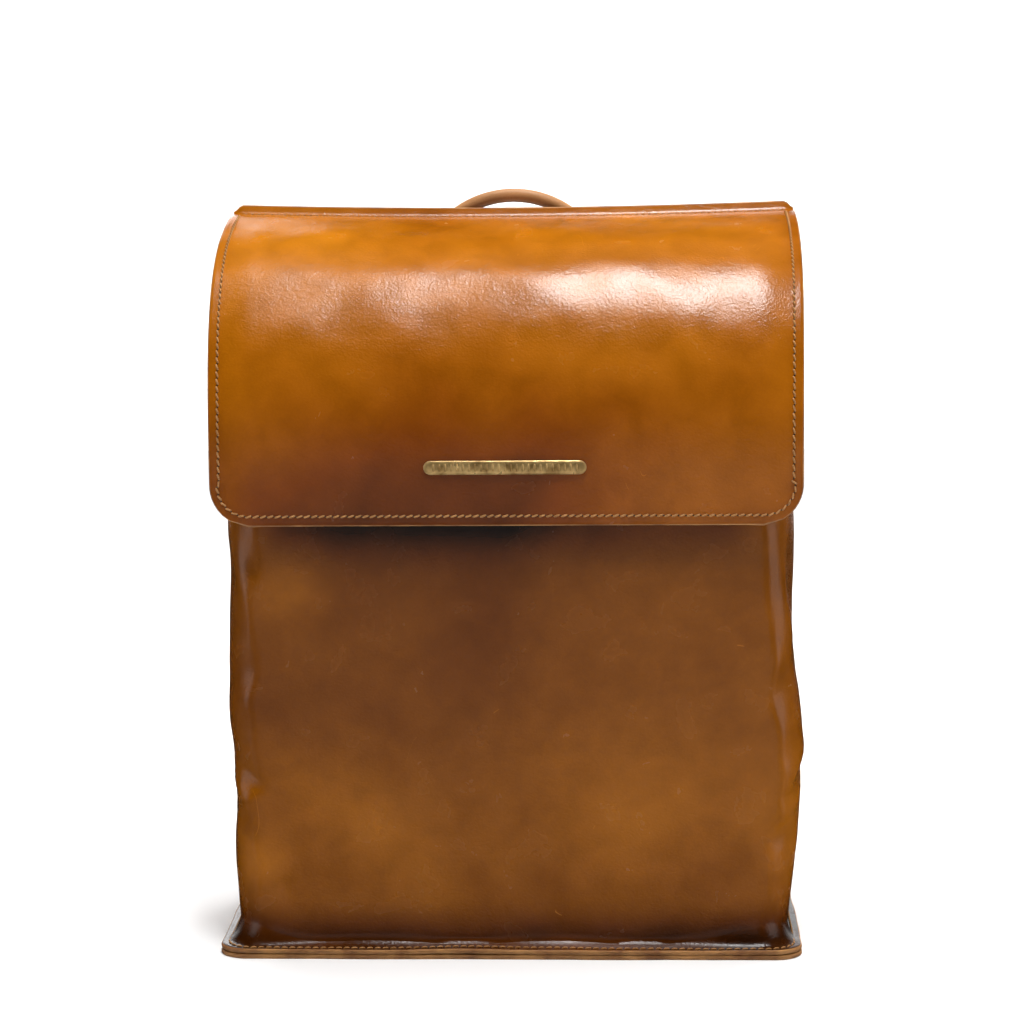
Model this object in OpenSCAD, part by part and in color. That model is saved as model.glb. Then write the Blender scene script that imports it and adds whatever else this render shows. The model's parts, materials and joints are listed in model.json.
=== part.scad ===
// Leather city backpack: a soft box body with a turned-out base seam, a
// fold-over flap closed by two magnetic snaps, a rolled grab handle, two
// padded shoulder straps and a zipped pocket inside.
// Millimetres. The origin is the centre of the base's underside, the front
// faces -Y, +X is to the right of someone who looks at the front, +Z is up.

/* [Body] */
// Width of the body over its side panels
bag_w = 284; // [250:1:345]
// Depth of the body from its front face to its back face
bag_d = 120; // [100:1:150]
// Height of the standing seam along the top of the back
bag_h = 383; // [330:1:460]
// Thickness of the body leather
leather_t = 2.6; // [2.2:0.1:3.4]
// Radius of the two upright front corners
corner_r = 26; // [12:1:36]
// How far the turned-out base seam stands proud of the body
flange_out = 8; // [5:0.5:12]
// Radius of the base seam's corners
flange_r = 14; // [8:1:24]
// Distance from the front face back to the edge of the mouth
mouth_set = 22; // [16:1:30]

/* [Inside] */
// Thickness of the fabric lining
lining_t = 0.8; // [0.5:0.1:1.2]
// Thickness of the base stiffener
base_board_t = 2; // [1:0.1:3]
// Thickness of the back stiffener
back_board_t = 1.2; // [0.8:0.1:2]
// Thickness of the leather facing around the mouth
facing_t = 1.2; // [0.8:0.1:2]
// Height of the leather facing around the mouth
facing_h = 28; // [16:1:40]
// Height of the leather facing below the front edge of the mouth
facing_front_h = 22; // [14:1:30]

/* [Flap] */
// How far the flap overhangs each side of the body
flap_over = 8; // [5:0.5:12]
// Thickness of the flap's outer leather
flap_t = 2.4; // [2.2:0.1:3]
// Thickness of the flap's lining leather
flap_lining_t = 1.2; // [1:0.1:1.6]
// Height of the flap's lower edge above the ground
flap_low = 226; // [190:1:235]
// Height above the flap's lower edge at which its front starts to curve back
flap_bend_up = 24; // [20:1:45]
// Depth of the curve of the flap's shoulder
shoulder_a = 150; // [135:1:180]
// Fullness of the shoulder's curve, where 2 is an ellipse
shoulder_n = 2.5; // [2:0.1:3]
// Radius of the flap's lower corners
flap_corner_r = 20; // [8:1:40]
// How far the standing seam rises above the flap
ridge_h = 4.5; // [3:0.5:7]
// Distance from the standing seam forward to the fold of the flap
fold_set = 8.2; // [6:0.2:12]

/* [Snaps] */
// Diameter of the snap discs
snap_d = 18; // [14:1:22]
// Thickness of the snap's socket on the body
socket_t = 2.6; // [2.2:0.1:3]
// Thickness of the snap's stud disc on the flap
stud_disc_t = 1.9; // [1.5:0.1:2.4]
// Distance of each snap from the middle of the bag
snap_x = 78; // [50:1:110]
// Height of the snaps above the flap's lower edge
snap_up = 14; // [12:1:15]

/* [Badge] */
// Length of the metal badge bar
badge_l = 82; // [50:1:110]
// Height of the metal badge bar
badge_h = 7; // [5:0.5:12]
// Thickness of the metal badge bar
badge_t = 1.4; // [1:0.1:2.5]
// Height of the middle of the badge bar above the flap's lower edge
badge_up = 29; // [20:1:34]

/* [Handle] */
// Radius of the rolled handle's middle line
handle_arc_r = 53; // [46:1:60]
// Thickness of the rolled handle
handle_d = 6.8; // [6:0.2:9]
// Distance of the handle's pivots below the top of the back
handle_drop = 31; // [27:1:33]
// Distance of each handle tab from the middle of the bag
handle_x = 50; // [49:1:52]

/* [Straps] */
// Width of the padded part of a shoulder strap
pad_w = 40; // [34:1:44]
// Thickness of the padding
foam_t = 5; // [3:0.5:8]
// Width of the strap's plain ends
strap_w = 22; // [18:1:24]
// Thickness of the strap leather
strap_t = 2.4; // [2:0.1:3]
// Height of a strap's lower end above the ground
strap_low_z = 43.5; // [40:0.5:60]
// Distance along the strap from its furthest point out to its lower end
strap_low_run = 105; // [90:1:120]
// How far a strap bows out behind the back
strap_bow = 24; // [18:1:40]
// Distance of a strap's upper end from the middle of the bag
strap_top_x = 24; // [22:1:26]
// Distance of a strap's lower end from the side of the bag
strap_side = 29; // [27:1:50]
// Distance of a strap's upper end below the top of the back
strap_drop = 53; // [51:1:57]
// Spacing of the adjustment holes
hole_pitch = 16; // [12:1:18]

/* [Pocket] */
// Width of the inside pocket
pocket_w = 200; // [160:1:230]
// Height of the inside pocket
pocket_h = 150; // [90:1:180]
// Distance of the pocket's top edge below the top of the back
pocket_drop = 71; // [65:1:100]
// Distance from the end of the zip to the side of the pocket
zip_set = 17; // [16:1:40]

/* [Hidden] */
$fn = 48;

tan_leather = "#b9701e";
dark_leather = "#8a4a14";
edge_leather = "#c58a52";
fabric = "#b7a58a";
board = "#9a8f80";
foam = "#d8d0c0";
brass = "#a8874a";

// Clearances
slip = 0.1;       // between still layers that lie on each other
fold_gap = 0.4;   // between moving and still leather at a fold
loose = 0.5;      // around a piece that slides or swings
past = 1;         // how far a cut runs past a face

// Planes of the body
front_y = -bag_d / 2;
back_y = bag_d / 2;
back_in = back_y - leather_t;
welt_top = 2 * leather_t;
board_top = leather_t + base_board_t;

// Flap and its shoulder curve
snap_gap = socket_t + stud_disc_t + loose;
flap_w = bag_w + 2 * flap_over;
flap_bend_z = flap_low + flap_bend_up;
flap_stack = flap_t + flap_lining_t;
flap_front = front_y - snap_gap - flap_stack;
body_drop = flap_stack + snap_gap;
ridge_y = back_in - flap_t;
hinge_y = ridge_y - fold_set;
hinge_z = bag_h - ridge_h;
shoulder_y = flap_front + shoulder_a;
hinge_u = (shoulder_y - hinge_y) / shoulder_a;
shoulder_b = (hinge_z - flap_bend_z) / pow(1 - pow(hinge_u, shoulder_n), 1 / shoulder_n);
shoulder_steps = 28;
mouth_y = front_y + mouth_set;

// Layers on the inside of the body, as distances in from the outer faces
lining_in = leather_t + slip;
lining_back = back_in - slip - back_board_t - slip;
facing_in = lining_in + lining_t + slip;
facing_reach = shoulder_a - body_drop - facing_in;
facing_rise = shoulder_b - body_drop - facing_in;
facing_lip_z = flap_bend_z
    + facing_rise * pow(1 - pow((shoulder_y - mouth_y) / facing_reach, shoulder_n), 1 / shoulder_n);
facing_low = floor(facing_lip_z) - facing_front_h;
pocket_back = lining_back - lining_t;

// Snaps
snap_z = flap_low + snap_up;
snap_post_r = 2;
snap_hole_r = 3.5;
snap_floor = 0.4;
stud_r = 2;
stud_l = 1.6;
washer_r = 7.5;
washer_t = 0.7;

// Badge posts
badge_z = flap_low + badge_up;
badge_post_x = badge_l / 2 - 9;
badge_post_r = 1;
badge_washer_r = 3;

// Handle
handle_z = bag_h - handle_drop;
handle_r = handle_d / 2;
handle_skin = 1;
yoke_t = strap_t;
yoke_face = back_y + yoke_t;
handle_mid_z = handle_z - sqrt(handle_arc_r * handle_arc_r - handle_x * handle_x);
handle_from = asin((handle_z - handle_mid_z) / handle_arc_r);
knuckle_r = handle_r + 0.4;
handle_y = yoke_face + 0.3 + knuckle_r;
knuckle_l = 10;
tab_w = 14;
tab_low = handle_z - 26;
tab_top = handle_z - knuckle_r - fold_gap;
neck_w = 11;
neck_h = 7;
yoke_w = 2 * (handle_x + 23);
yoke_low = handle_z - 38;
yoke_top = handle_z + 18;
yoke_r = 10;

// Rivets, all through the same three layers
rivet_face = yoke_face + strap_t;
rivet_head_r = 3.6;
rivet_head_t = 1.4;
rivet_r = 1.5;
rivet_cap_r = 3;
rivet_cap_t = 0.7;

// Straps: s runs down a strap from its upper anchor, t is the height above
// the strap's inner surface
strap_top_z = bag_h - strap_drop;
strap_low_x = bag_w / 2 - strap_side;
strap_len = norm([strap_low_x - strap_top_x, strap_top_z - strap_low_z]);
strap_peak = strap_len - strap_low_run;
splay = asin((strap_low_x - strap_top_x) / strap_len);
peak_y = yoke_face + strap_bow;
upper_r = (strap_peak * strap_peak + strap_bow * strap_bow) / (2 * strap_bow);
lower_r = (strap_low_run * strap_low_run + strap_bow * strap_bow) / (2 * strap_bow);
backing_t = 1.4;
cover_t = 2;
pad_t = backing_t + foam_t + cover_t;
pad_from = 16;
pad_to = strap_peak - 40;
pad_wall = 2;
tongue_t = strap_t + slip;
tongue_to = strap_peak + 30;
top_tongue_l = 22;
top_tongue_w = 30;
low_from = pad_to + 5;
low_end = 22;
stud_s = strap_peak + 14;
hole_count = 5;
hole_r = 2.4;
neck_r = 2.2;
ball_r = 3.8;
screw_r = 1.4;
screw_head_r = 4.5;
screw_head_t = 1.2;
keeper_s = strap_peak - 13;
keeper_l = 12;
keeper_t = 1.6;
bow_steps = 14;
top_rivet_s = -11;
low_rivet_s = strap_len + 11;

// Pocket and zip
pouch_gap = 2.6;
pocket_t = 0.9;
pocket_face = pocket_back - pouch_gap - pocket_t;
pocket_rim = 4;
pocket_top = bag_h - pocket_drop;
zip_l = pocket_w - 2 * zip_set;
zip_z = pocket_top - 16;
zip_half = 4.5;
welt_t = 1.2;
welt_edge = 9;
zip_y = pocket_face + 1.3;
tooth_w = 1.6;
tooth_pitch = 3;
tooth_in = 0.7;
tooth_out = 2.2;
tape_t = 0.6;
tape_out = 9;
slider_w = 9;
slider_half = 3.2;
slider_x = -zip_l / 2 + 12;
plate_t = 0.8;
plate_gap = 0.3;
bridge_half = 0.4;
pull_pin_r = 1;
pull_l = 24;
pull_w = 7;
pull_t = 1;

function reversed(points) = [for (i = [len(points) - 1 : -1 : 0]) points[i]];

// A point on the shoulder curve at parameter t, lowered by d
function shoulder_point(t, d) = [
    shoulder_y - (shoulder_a - d) * pow(sin(t), 2 / shoulder_n),
    flap_bend_z + (shoulder_b - d) * pow(max(0, cos(t)), 2 / shoulder_n)
];

// The shoulder curve lowered by d, from the depth y forward to the front
function shoulder(y, d) =
    let (t0 = asin(pow((shoulder_y - y) / (shoulder_a - d), shoulder_n / 2)))
    [for (i = [0 : shoulder_steps]) shoulder_point(t0 + (90 - t0) * i / shoulder_steps, d)];

// A point of the strap at distance s along it and height t above its inner face
function strap_angle(s) =
    s < strap_peak ? asin((strap_peak - s) / upper_r) : -asin((s - strap_peak) / lower_r);
function strap_radius(s) = s < strap_peak ? upper_r : lower_r;
function strap_point(s, t) =
    let (a = strap_angle(s), r = strap_radius(s))
    [peak_y - r + (r + t) * cos(a), -strap_peak + (r + t) * sin(a)];
function strap_line(s0, s1, t) =
    [for (i = [0 : bow_steps]) strap_point(s0 + (s1 - s0) * i / bow_steps, t)];

// Extrudes a (Y, Z) outline along X, centred
module across(w) {
    translate([-w / 2, 0, 0]) rotate([90, 0, 90]) linear_extrude(w) children();
}

// Extrudes an (X, Z) outline from the depth y0 to the depth y1
module through(y0, y1) {
    translate([0, y1, 0]) rotate([90, 0, 0]) linear_extrude(y1 - y0) children();
}

// A cylinder along Y from y0 to y1
module pin_y(x, z, r, y0, y1) {
    translate([x, y1, z]) rotate([90, 0, 0]) cylinder(r = r, h = y1 - y0);
}

// A rectangle with four rounded corners, centred on x = 0
module rounded_sheet(w, low, high, r) {
    translate([-w / 2 + r, low]) square([w - 2 * r, high - low]);
    translate([-w / 2, low + r]) square([w, high - low - 2 * r]);
    for (x = [-w / 2 + r, w / 2 - r], z = [low + r, high - r]) translate([x, z]) circle(r);
}

// Plan of the body, drawn in by inset, with its back at the depth y1
module plan(inset, y1) {
    r = corner_r - inset;
    w = bag_w - 2 * inset;
    y0 = front_y + inset;
    translate([-w / 2, y0 + r]) square([w, y1 - y0 - r]);
    translate([-w / 2 + r, y0]) square([w - 2 * r, y1 - y0]);
    for (x = [-w / 2 + r, w / 2 - r]) translate([x, y0 + r]) circle(r);
}

module body_block(inset, y1, z0, z1) {
    translate([0, 0, z0]) linear_extrude(z1 - z0) plan(inset, y1);
}

// All that lies under the shoulder curve lowered by d
module under_shoulder(d) {
    across(bag_w + 2 * flange_out)
        polygon(concat(shoulder(back_in, d), [[flap_front + d, 0], [back_in, 0]]));
}

// The body's outer shape, drawn in by inset and starting at the height z0
module body_shape(inset, y1, z0) {
    intersection() {
        body_block(inset, y1, z0, bag_h);
        under_shoulder(body_drop + inset);
    }
}

// The open top behind the edge of the mouth
module mouth_cut(inset) {
    intersection() {
        body_block(inset, back_in + past, flap_low, bag_h + past);
        translate([-bag_w / 2, mouth_y, flap_low])
            cube([bag_w, back_in + past - mouth_y, bag_h]);
    }
}

// One layer of the turned-out base seam, from the depth y0 to the depth y1
module base_layer(z0, y0, y1) {
    translate([0, 0, z0]) linear_extrude(leather_t) intersection() {
        rounded_sheet(bag_w + 2 * flange_out, front_y - flange_out, back_y + flange_out, flange_r);
        translate([-bag_w, y0]) square([2 * bag_w, y1 - y0]);
    }
}

module body_wrap() color(tan_leather) difference() {
    union() {
        body_shape(0, back_in, leather_t);
        base_layer(leather_t, front_y - flange_out, back_in);
    }
    body_shape(leather_t, back_in + past, leather_t - past);
    body_block(leather_t, back_in + past, leather_t - past, flap_low);
    mouth_cut(leather_t);
    for (x = [-snap_x, snap_x]) {
        pin_y(x, snap_z, snap_post_r + slip, front_y - past, front_y + leather_t + past);
        pin_y(x, snap_z, washer_r + slip, front_y + leather_t - washer_t - slip, front_y + leather_t);
    }
}

module back_panel() color(tan_leather) difference() {
    union() {
        translate([-bag_w / 2, back_in, leather_t]) cube([bag_w, leather_t, bag_h - leather_t]);
        base_layer(leather_t, back_in, back_y + flange_out);
    }
    rivet_holes(back_in - past);
    for (p = rivet_places)
        pin_y(p[0], p[1], rivet_cap_r + slip, back_in, back_in + rivet_cap_t + slip);
}

module base_panel() color(tan_leather) {
    base_layer(0, front_y - flange_out, back_y + flange_out);
}

module base_board() color(board) {
    body_block(leather_t + loose, back_in - loose, leather_t, board_top);
}

module back_board() color(board) {
    through(back_in - slip - back_board_t, back_in - slip)
        rounded_sheet(bag_w - 2 * leather_t - 8, board_top + slip, bag_h - 18, 6);
}

module lining() color(fabric) difference() {
    body_shape(lining_in, lining_back, board_top + slip);
    body_shape(lining_in + lining_t, lining_back - lining_t, board_top + slip + lining_t);
    intersection() {
        mouth_cut(lining_in + lining_t);
        body_block(lining_in + lining_t, lining_back - lining_t, flap_low, bag_h + past);
    }
}

module mouth_facing() color(dark_leather) difference() {
    body_shape(facing_in, lining_back - lining_t - slip, facing_low);
    body_shape(facing_in + facing_t, back_in, facing_low - past);
    mouth_cut(facing_in + facing_t);
    intersection() {
        under_shoulder(body_drop + facing_in + facing_h);
        translate([-bag_w, mouth_y, 0]) cube([2 * bag_w, bag_d, bag_h]);
    }
}

// The fixed root of the flap: a standing edge on the back panel and a foot
// that reaches forward to the fold
module flap_seam_strip() color(tan_leather) across(flap_w) polygon([
    [back_in, hinge_z - flap_stack], [back_in, bag_h], [ridge_y, bag_h], [ridge_y, hinge_z],
    [hinge_y + fold_gap, hinge_z], [hinge_y + fold_gap, hinge_z - flap_stack]
]);

// A layer of the flap between two depths below its outer face
module flap_layer(d0, d1) difference() {
    across(flap_w) polygon(concat(
        shoulder(hinge_y, d0),
        [[flap_front + d0, flap_low], [flap_front + d1, flap_low]],
        reversed(shoulder(hinge_y, d1))
    ));
    for (side = [-1, 1]) translate([side * (flap_w / 2 - flap_corner_r), 0, flap_low + flap_corner_r])
        difference() {
            through(flap_front - past, flap_front + flap_stack + past)
                translate([side > 0 ? 0 : -flap_corner_r - past, -flap_corner_r - past])
                square(flap_corner_r + past);
            pin_y(0, 0, flap_corner_r, flap_front - 2 * past, flap_front + flap_stack + 2 * past);
        }
}

module flap_outer() color(tan_leather) difference() {
    inner = flap_front + flap_t;
    flap_layer(0, flap_t);
    for (x = [-snap_x, snap_x])
        pin_y(x, snap_z, washer_r + slip, inner - washer_t - slip, inner + past);
    for (x = [-badge_post_x, badge_post_x]) {
        pin_y(x, badge_z, badge_post_r + slip, flap_front - past, inner + past);
        pin_y(x, badge_z, badge_washer_r + slip, inner - washer_t - slip, inner + past);
    }
}

module flap_lining() color(edge_leather) difference() {
    flap_layer(flap_t, flap_stack);
    for (x = [-snap_x, snap_x])
        pin_y(x, snap_z, snap_post_r + slip, flap_front, flap_front + flap_stack + past);
}

module badge_bar() color(brass) {
    through(flap_front - badge_t, flap_front) {
        translate([-badge_l / 2 + badge_h / 2, badge_z - badge_h / 2]) square([badge_l - badge_h, badge_h]);
        for (x = [-1, 1]) translate([x * (badge_l - badge_h) / 2, badge_z]) circle(badge_h / 2);
    }
    for (x = [-badge_post_x, badge_post_x])
        pin_y(x, badge_z, badge_post_r, flap_front - badge_t / 2, flap_front + flap_t - washer_t - slip);
}

module badge_washers() color(brass) for (x = [-badge_post_x, badge_post_x])
    pin_y(x, badge_z, badge_washer_r, flap_front + flap_t - washer_t, flap_front + flap_t);

// The socket half of a snap: a disc with a blind hole, and a post through the front
module snap_sockets() color(brass) for (x = [-snap_x, snap_x]) difference() {
    union() {
        pin_y(x, snap_z, snap_d / 2, front_y - socket_t, front_y);
        pin_y(x, snap_z, snap_post_r, front_y - snap_floor, front_y + leather_t - washer_t - slip);
    }
    pin_y(x, snap_z, snap_hole_r, front_y - socket_t - past, front_y - snap_floor);
}

module socket_washers() color(brass) for (x = [-snap_x, snap_x])
    pin_y(x, snap_z, washer_r, front_y + leather_t - washer_t, front_y + leather_t);

// The stud half of a snap: a disc with a stud, and a post through the flap's lining
module snap_studs() color(brass) for (x = [-snap_x, snap_x]) {
    flap_in = flap_front + flap_stack;
    pin_y(x, snap_z, snap_d / 2, flap_in, flap_in + stud_disc_t);
    pin_y(x, snap_z, stud_r, flap_in, flap_in + stud_disc_t + stud_l);
    pin_y(x, snap_z, snap_post_r, flap_front + flap_t, flap_in + stud_disc_t);
}

module stud_washers() color(brass) for (x = [-snap_x, snap_x])
    pin_y(x, snap_z, washer_r, flap_front + flap_t - washer_t, flap_front + flap_t);

module back_yoke() color(tan_leather) difference() {
    through(back_y, yoke_face) rounded_sheet(yoke_w, yoke_low, yoke_top, yoke_r);
    rivet_holes(back_y - past);
}

// An arc of the handle's round section
module handle_arc(r, from) {
    translate([0, handle_y, handle_mid_z]) rotate([90, 0, 0]) rotate([0, 0, from])
        rotate_extrude(angle = 180 - 2 * from, $fn = 96) translate([handle_arc_r, 0]) circle(r, $fn = 24);
}

module handle_cover() color(tan_leather) difference() {
    union() {
        handle_arc(handle_r, handle_from);
        for (x = [-handle_x, handle_x]) translate([x - knuckle_l / 2, handle_y, handle_z])
            rotate([0, 90, 0]) cylinder(r = knuckle_r, h = knuckle_l);
    }
    handle_arc(handle_r - handle_skin, handle_from + 9);
}

module handle_core() color(foam) {
    handle_arc(handle_r - handle_skin - slip, handle_from + 10);
}

module handle_tabs() color(tan_leather) difference() {
    for (x = [-handle_x, handle_x]) {
        translate([x, 0, 0]) through(yoke_face, yoke_face + strap_t) {
            translate([0, tab_low + tab_w / 2]) circle(tab_w / 2);
            translate([-tab_w / 2, tab_low + tab_w / 2]) square([tab_w, tab_top - tab_low - tab_w / 2]);
        }
        translate([x - neck_w / 2, yoke_face, tab_top - neck_h]) cube([neck_w, handle_d, neck_h]);
    }
    rivet_holes(yoke_face);
}

// Where a strap's own point (across, along) lies on the back
function on_strap(side, s) = [
    side * (strap_top_x + s * sin(splay)),
    strap_top_z - s * cos(splay)
];

rivet_places = [for (side = [-1, 1]) each [
    [side * handle_x, tab_low + tab_w / 2],
    on_strap(side, top_rivet_s),
    on_strap(side, low_rivet_s)
]];

module rivet_holes(y0) {
    for (p = rivet_places) pin_y(p[0], p[1], rivet_r + slip, y0, rivet_face + past);
}

module rivets() color(brass) for (p = rivet_places) {
    pin_y(p[0], p[1], rivet_head_r, rivet_face, rivet_face + rivet_head_t);
    pin_y(p[0], p[1], rivet_r, back_in + slip, rivet_face + rivet_head_t / 2);
    pin_y(p[0], p[1], rivet_cap_r, back_in + slip, back_in + rivet_cap_t);
}

// Puts a piece that is drawn along a strap in its place on the back
module on_side(side) {
    translate([side * strap_top_x, 0, strap_top_z]) rotate([0, -side * splay, 0]) children();
}

// A bowed ribbon from s0 to s1 along the strap, between the heights t0 and t1
module ribbon(w, s0, s1, t0, t1) {
    across(w) polygon(concat(strap_line(s0, s1, t1), reversed(strap_line(s0, s1, t0))));
}

// A cylinder through the strap at s, between the heights t0 and t1
module strap_pin(s, r, t0, t1) {
    p = strap_point(s, 0);
    translate([0, p[0], p[1]]) rotate([strap_angle(s), 0, 0]) pin_y(0, 0, r, t0, t1);
}

// The leather of the padded upper strap, hollow for its foam and backing
module strap_cover(side) color(tan_leather) difference() {
    on_side(side) {
        translate([-top_tongue_w / 2, yoke_face, -2]) cube([top_tongue_w, strap_t, top_tongue_l + 2]);
        ribbon(top_tongue_w, 0, pad_from + pad_wall, 0, strap_t);
        difference() {
            ribbon(pad_w, pad_from, pad_to, 0, pad_t);
            ribbon(pad_w - 2 * pad_wall, pad_from + pad_wall, pad_to - pad_wall, -past, pad_t - cover_t);
        }
        difference() {
            ribbon(strap_w, pad_to - pad_wall, tongue_to, tongue_t, tongue_t + strap_t);
            strap_pin(stud_s, neck_r + slip, tongue_t - past, tongue_t + strap_t + past);
        }
    }
    rivet_holes(yoke_face - past);
}

module strap_foam(side) color(foam) on_side(side)
    ribbon(pad_w - 2 * pad_wall - 2 * slip, pad_from + pad_wall + slip, pad_to - pad_wall - slip,
        backing_t + slip, pad_t - cover_t - slip);

module strap_backing(side) color(edge_leather) on_side(side)
    ribbon(pad_w - 2 * pad_wall - 2 * slip, pad_from + pad_wall + slip, pad_to - pad_wall - slip,
        0, backing_t);

module lower_strap(side) color(tan_leather) difference() {
    on_side(side) difference() {
        union() {
            ribbon(strap_w, low_from, strap_len, 0, strap_t);
            translate([-strap_w / 2, yoke_face, -strap_len - low_end])
                cube([strap_w, strap_t, low_end + 1]);
        }
        for (i = [0 : hole_count - 1])
            strap_pin(stud_s + (i - 2) * hole_pitch, hole_r, -past, strap_t + past);
    }
    rivet_holes(yoke_face - past);
}

// The loop that holds the strap's free end down
module keeper(side) color(dark_leather) on_side(side) {
    p = strap_point(keeper_s, 0);
    stack = 2 * strap_t + slip;
    translate([0, p[0], p[1]]) rotate([strap_angle(keeper_s), 0, 0]) difference() {
        translate([-strap_w / 2 - loose - keeper_t, -loose - keeper_t, -keeper_l / 2])
            cube([strap_w + 2 * (loose + keeper_t), stack + 2 * (loose + keeper_t), keeper_l]);
        translate([-strap_w / 2 - loose, -loose, -keeper_l / 2 - past])
            cube([strap_w + 2 * loose, stack + 2 * loose, keeper_l + 2 * past]);
    }
}

module ball_studs() color(brass) for (side = [-1, 1]) on_side(side) {
    top = 2 * strap_t + slip;
    p = strap_point(stud_s, 0);
    difference() {
        union() {
            strap_pin(stud_s, neck_r, 0, top + 3);
            translate([0, p[0], p[1]]) rotate([strap_angle(stud_s), 0, 0])
                translate([0, top + 0.8 + ball_r, 0]) sphere(ball_r);
        }
        strap_pin(stud_s, screw_r + slip, -past, top);
    }
}

module stud_screws() color(brass) for (side = [-1, 1]) on_side(side) {
    strap_pin(stud_s, screw_head_r, -slip - screw_head_t, -slip);
    strap_pin(stud_s, screw_r, -slip - screw_head_t / 2, 2 * strap_t - slip);
}

module anchor_tabs() color(tan_leather) difference() {
    edge = bag_w / 2 - 2.5;
    for (side = [-1, 1]) through(back_y, yoke_face) polygon([
        [side * (edge - 56), welt_top + 3], [side * edge, welt_top + 3], [side * edge, welt_top + 60]
    ]);
    rivet_holes(back_y - past);
}

module zip_slot(y0, y1) {
    through(y0, y1) translate([-zip_l / 2, zip_z - zip_half]) square([zip_l, 2 * zip_half]);
}

module pocket_panel() color(fabric) difference() {
    through(pocket_face, pocket_back) rounded_sheet(pocket_w, pocket_top - pocket_h, pocket_top, 8);
    through(pocket_face + pocket_t, pocket_back + past)
        rounded_sheet(pocket_w - 2 * pocket_rim, pocket_top - pocket_h + pocket_rim,
            pocket_top - pocket_rim, 6);
    zip_slot(pocket_face - past, pocket_back);
}

module pocket_welt() color(dark_leather) difference() {
    through(pocket_face - welt_t, pocket_face)
        rounded_sheet(zip_l + 2 * welt_edge, zip_z - zip_half - welt_edge, zip_z + zip_half + welt_edge, 4);
    zip_slot(pocket_face - welt_t - past, pocket_face + past);
}

module zip_tape() color(fabric) for (side = [-1, 1])
    through(pocket_face + pocket_t + slip, pocket_face + pocket_t + slip + tape_t)
        translate([-zip_l / 2 - 6, zip_z + (side > 0 ? tooth_out : -tape_out)])
        square([zip_l + 12, tape_out - tooth_out]);

// Two rows of teeth, each on a bead along the edge of its tape
module zip_teeth() color(brass) for (side = [-1, 1]) {
    teeth = floor((zip_l - 8) / tooth_pitch);
    row_z = zip_z + (side > 0 ? tooth_in : -tooth_out);
    bead_z = zip_z + (side > 0 ? tooth_out - 0.6 : -tooth_out);
    translate([-teeth * tooth_pitch / 2, zip_y - 0.5, bead_z]) cube([teeth * tooth_pitch, 1, 0.6]);
    for (i = [0 : teeth - 1])
        translate([(i - teeth / 2 + 0.25) * tooth_pitch, zip_y - tooth_w / 2, row_z])
            cube([tooth_w, tooth_w, tooth_out - tooth_in]);
}

module zip_stops() color(brass) for (side = [-1, 1])
    translate([side * (zip_l / 2 - 2) - 1, zip_y - tooth_w / 2, zip_z - tooth_out])
        cube([2, tooth_w, 2 * tooth_out]);

module zip_slider() color(brass) translate([slider_x, 0, 0]) {
    front = zip_y - tooth_w / 2 - plate_gap;
    rear = zip_y + tooth_w / 2 + plate_gap;
    for (y = [front - plate_t, rear]) translate([-slider_w / 2, y, zip_z - slider_half])
        cube([slider_w, plate_t, 2 * slider_half]);
    translate([-slider_w / 2, front - plate_t / 2, zip_z - bridge_half])
        cube([2, rear - front + plate_t, 2 * bridge_half]);
    pin_y(0, zip_z, pull_pin_r, front - 3.2, front - plate_t / 2);
    pin_y(0, zip_z, pull_pin_r + 1, front - 3.8, front - 3.2);
}

module zip_pull() color(dark_leather) {
    front = zip_y - tooth_w / 2 - plate_gap;
    difference() {
        translate([slider_x, 0, zip_z]) through(front - 2.8, front - 2.8 + pull_t) {
            circle(pull_w / 2);
            translate([-pull_w / 2, -pull_l]) square([pull_w, pull_l]);
        }
        pin_y(slider_x, zip_z, pull_pin_r + 0.3, front - 4, front);
    }
}

body_wrap();
back_panel();
base_panel();
base_board();
back_board();
lining();
mouth_facing();
flap_seam_strip();
flap_outer();
flap_lining();
badge_bar();
badge_washers();
snap_sockets();
socket_washers();
snap_studs();
stud_washers();
back_yoke();
handle_cover();
handle_core();
handle_tabs();
rivets();
strap_cover(-1);  // strap_left
strap_foam(-1);  // strap_foam_left
strap_backing(-1);  // strap_backing_left
lower_strap(-1);  // lower_strap_left
keeper(-1);  // keeper_left
strap_cover(1);  // strap_right
strap_foam(1);  // strap_foam_right
strap_backing(1);  // strap_backing_right
lower_strap(1);  // lower_strap_right
keeper(1);  // keeper_right
ball_studs();
stud_screws();
anchor_tabs();
pocket_panel();
pocket_welt();
zip_tape();
zip_teeth();
zip_stops();
zip_slider();
zip_pull();
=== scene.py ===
"""Looks of the leather backpack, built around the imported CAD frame. Metres, +Z up, the front faces -Y."""
import json
import math

import bpy
import numpy as np
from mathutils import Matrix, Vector, noise


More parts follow.
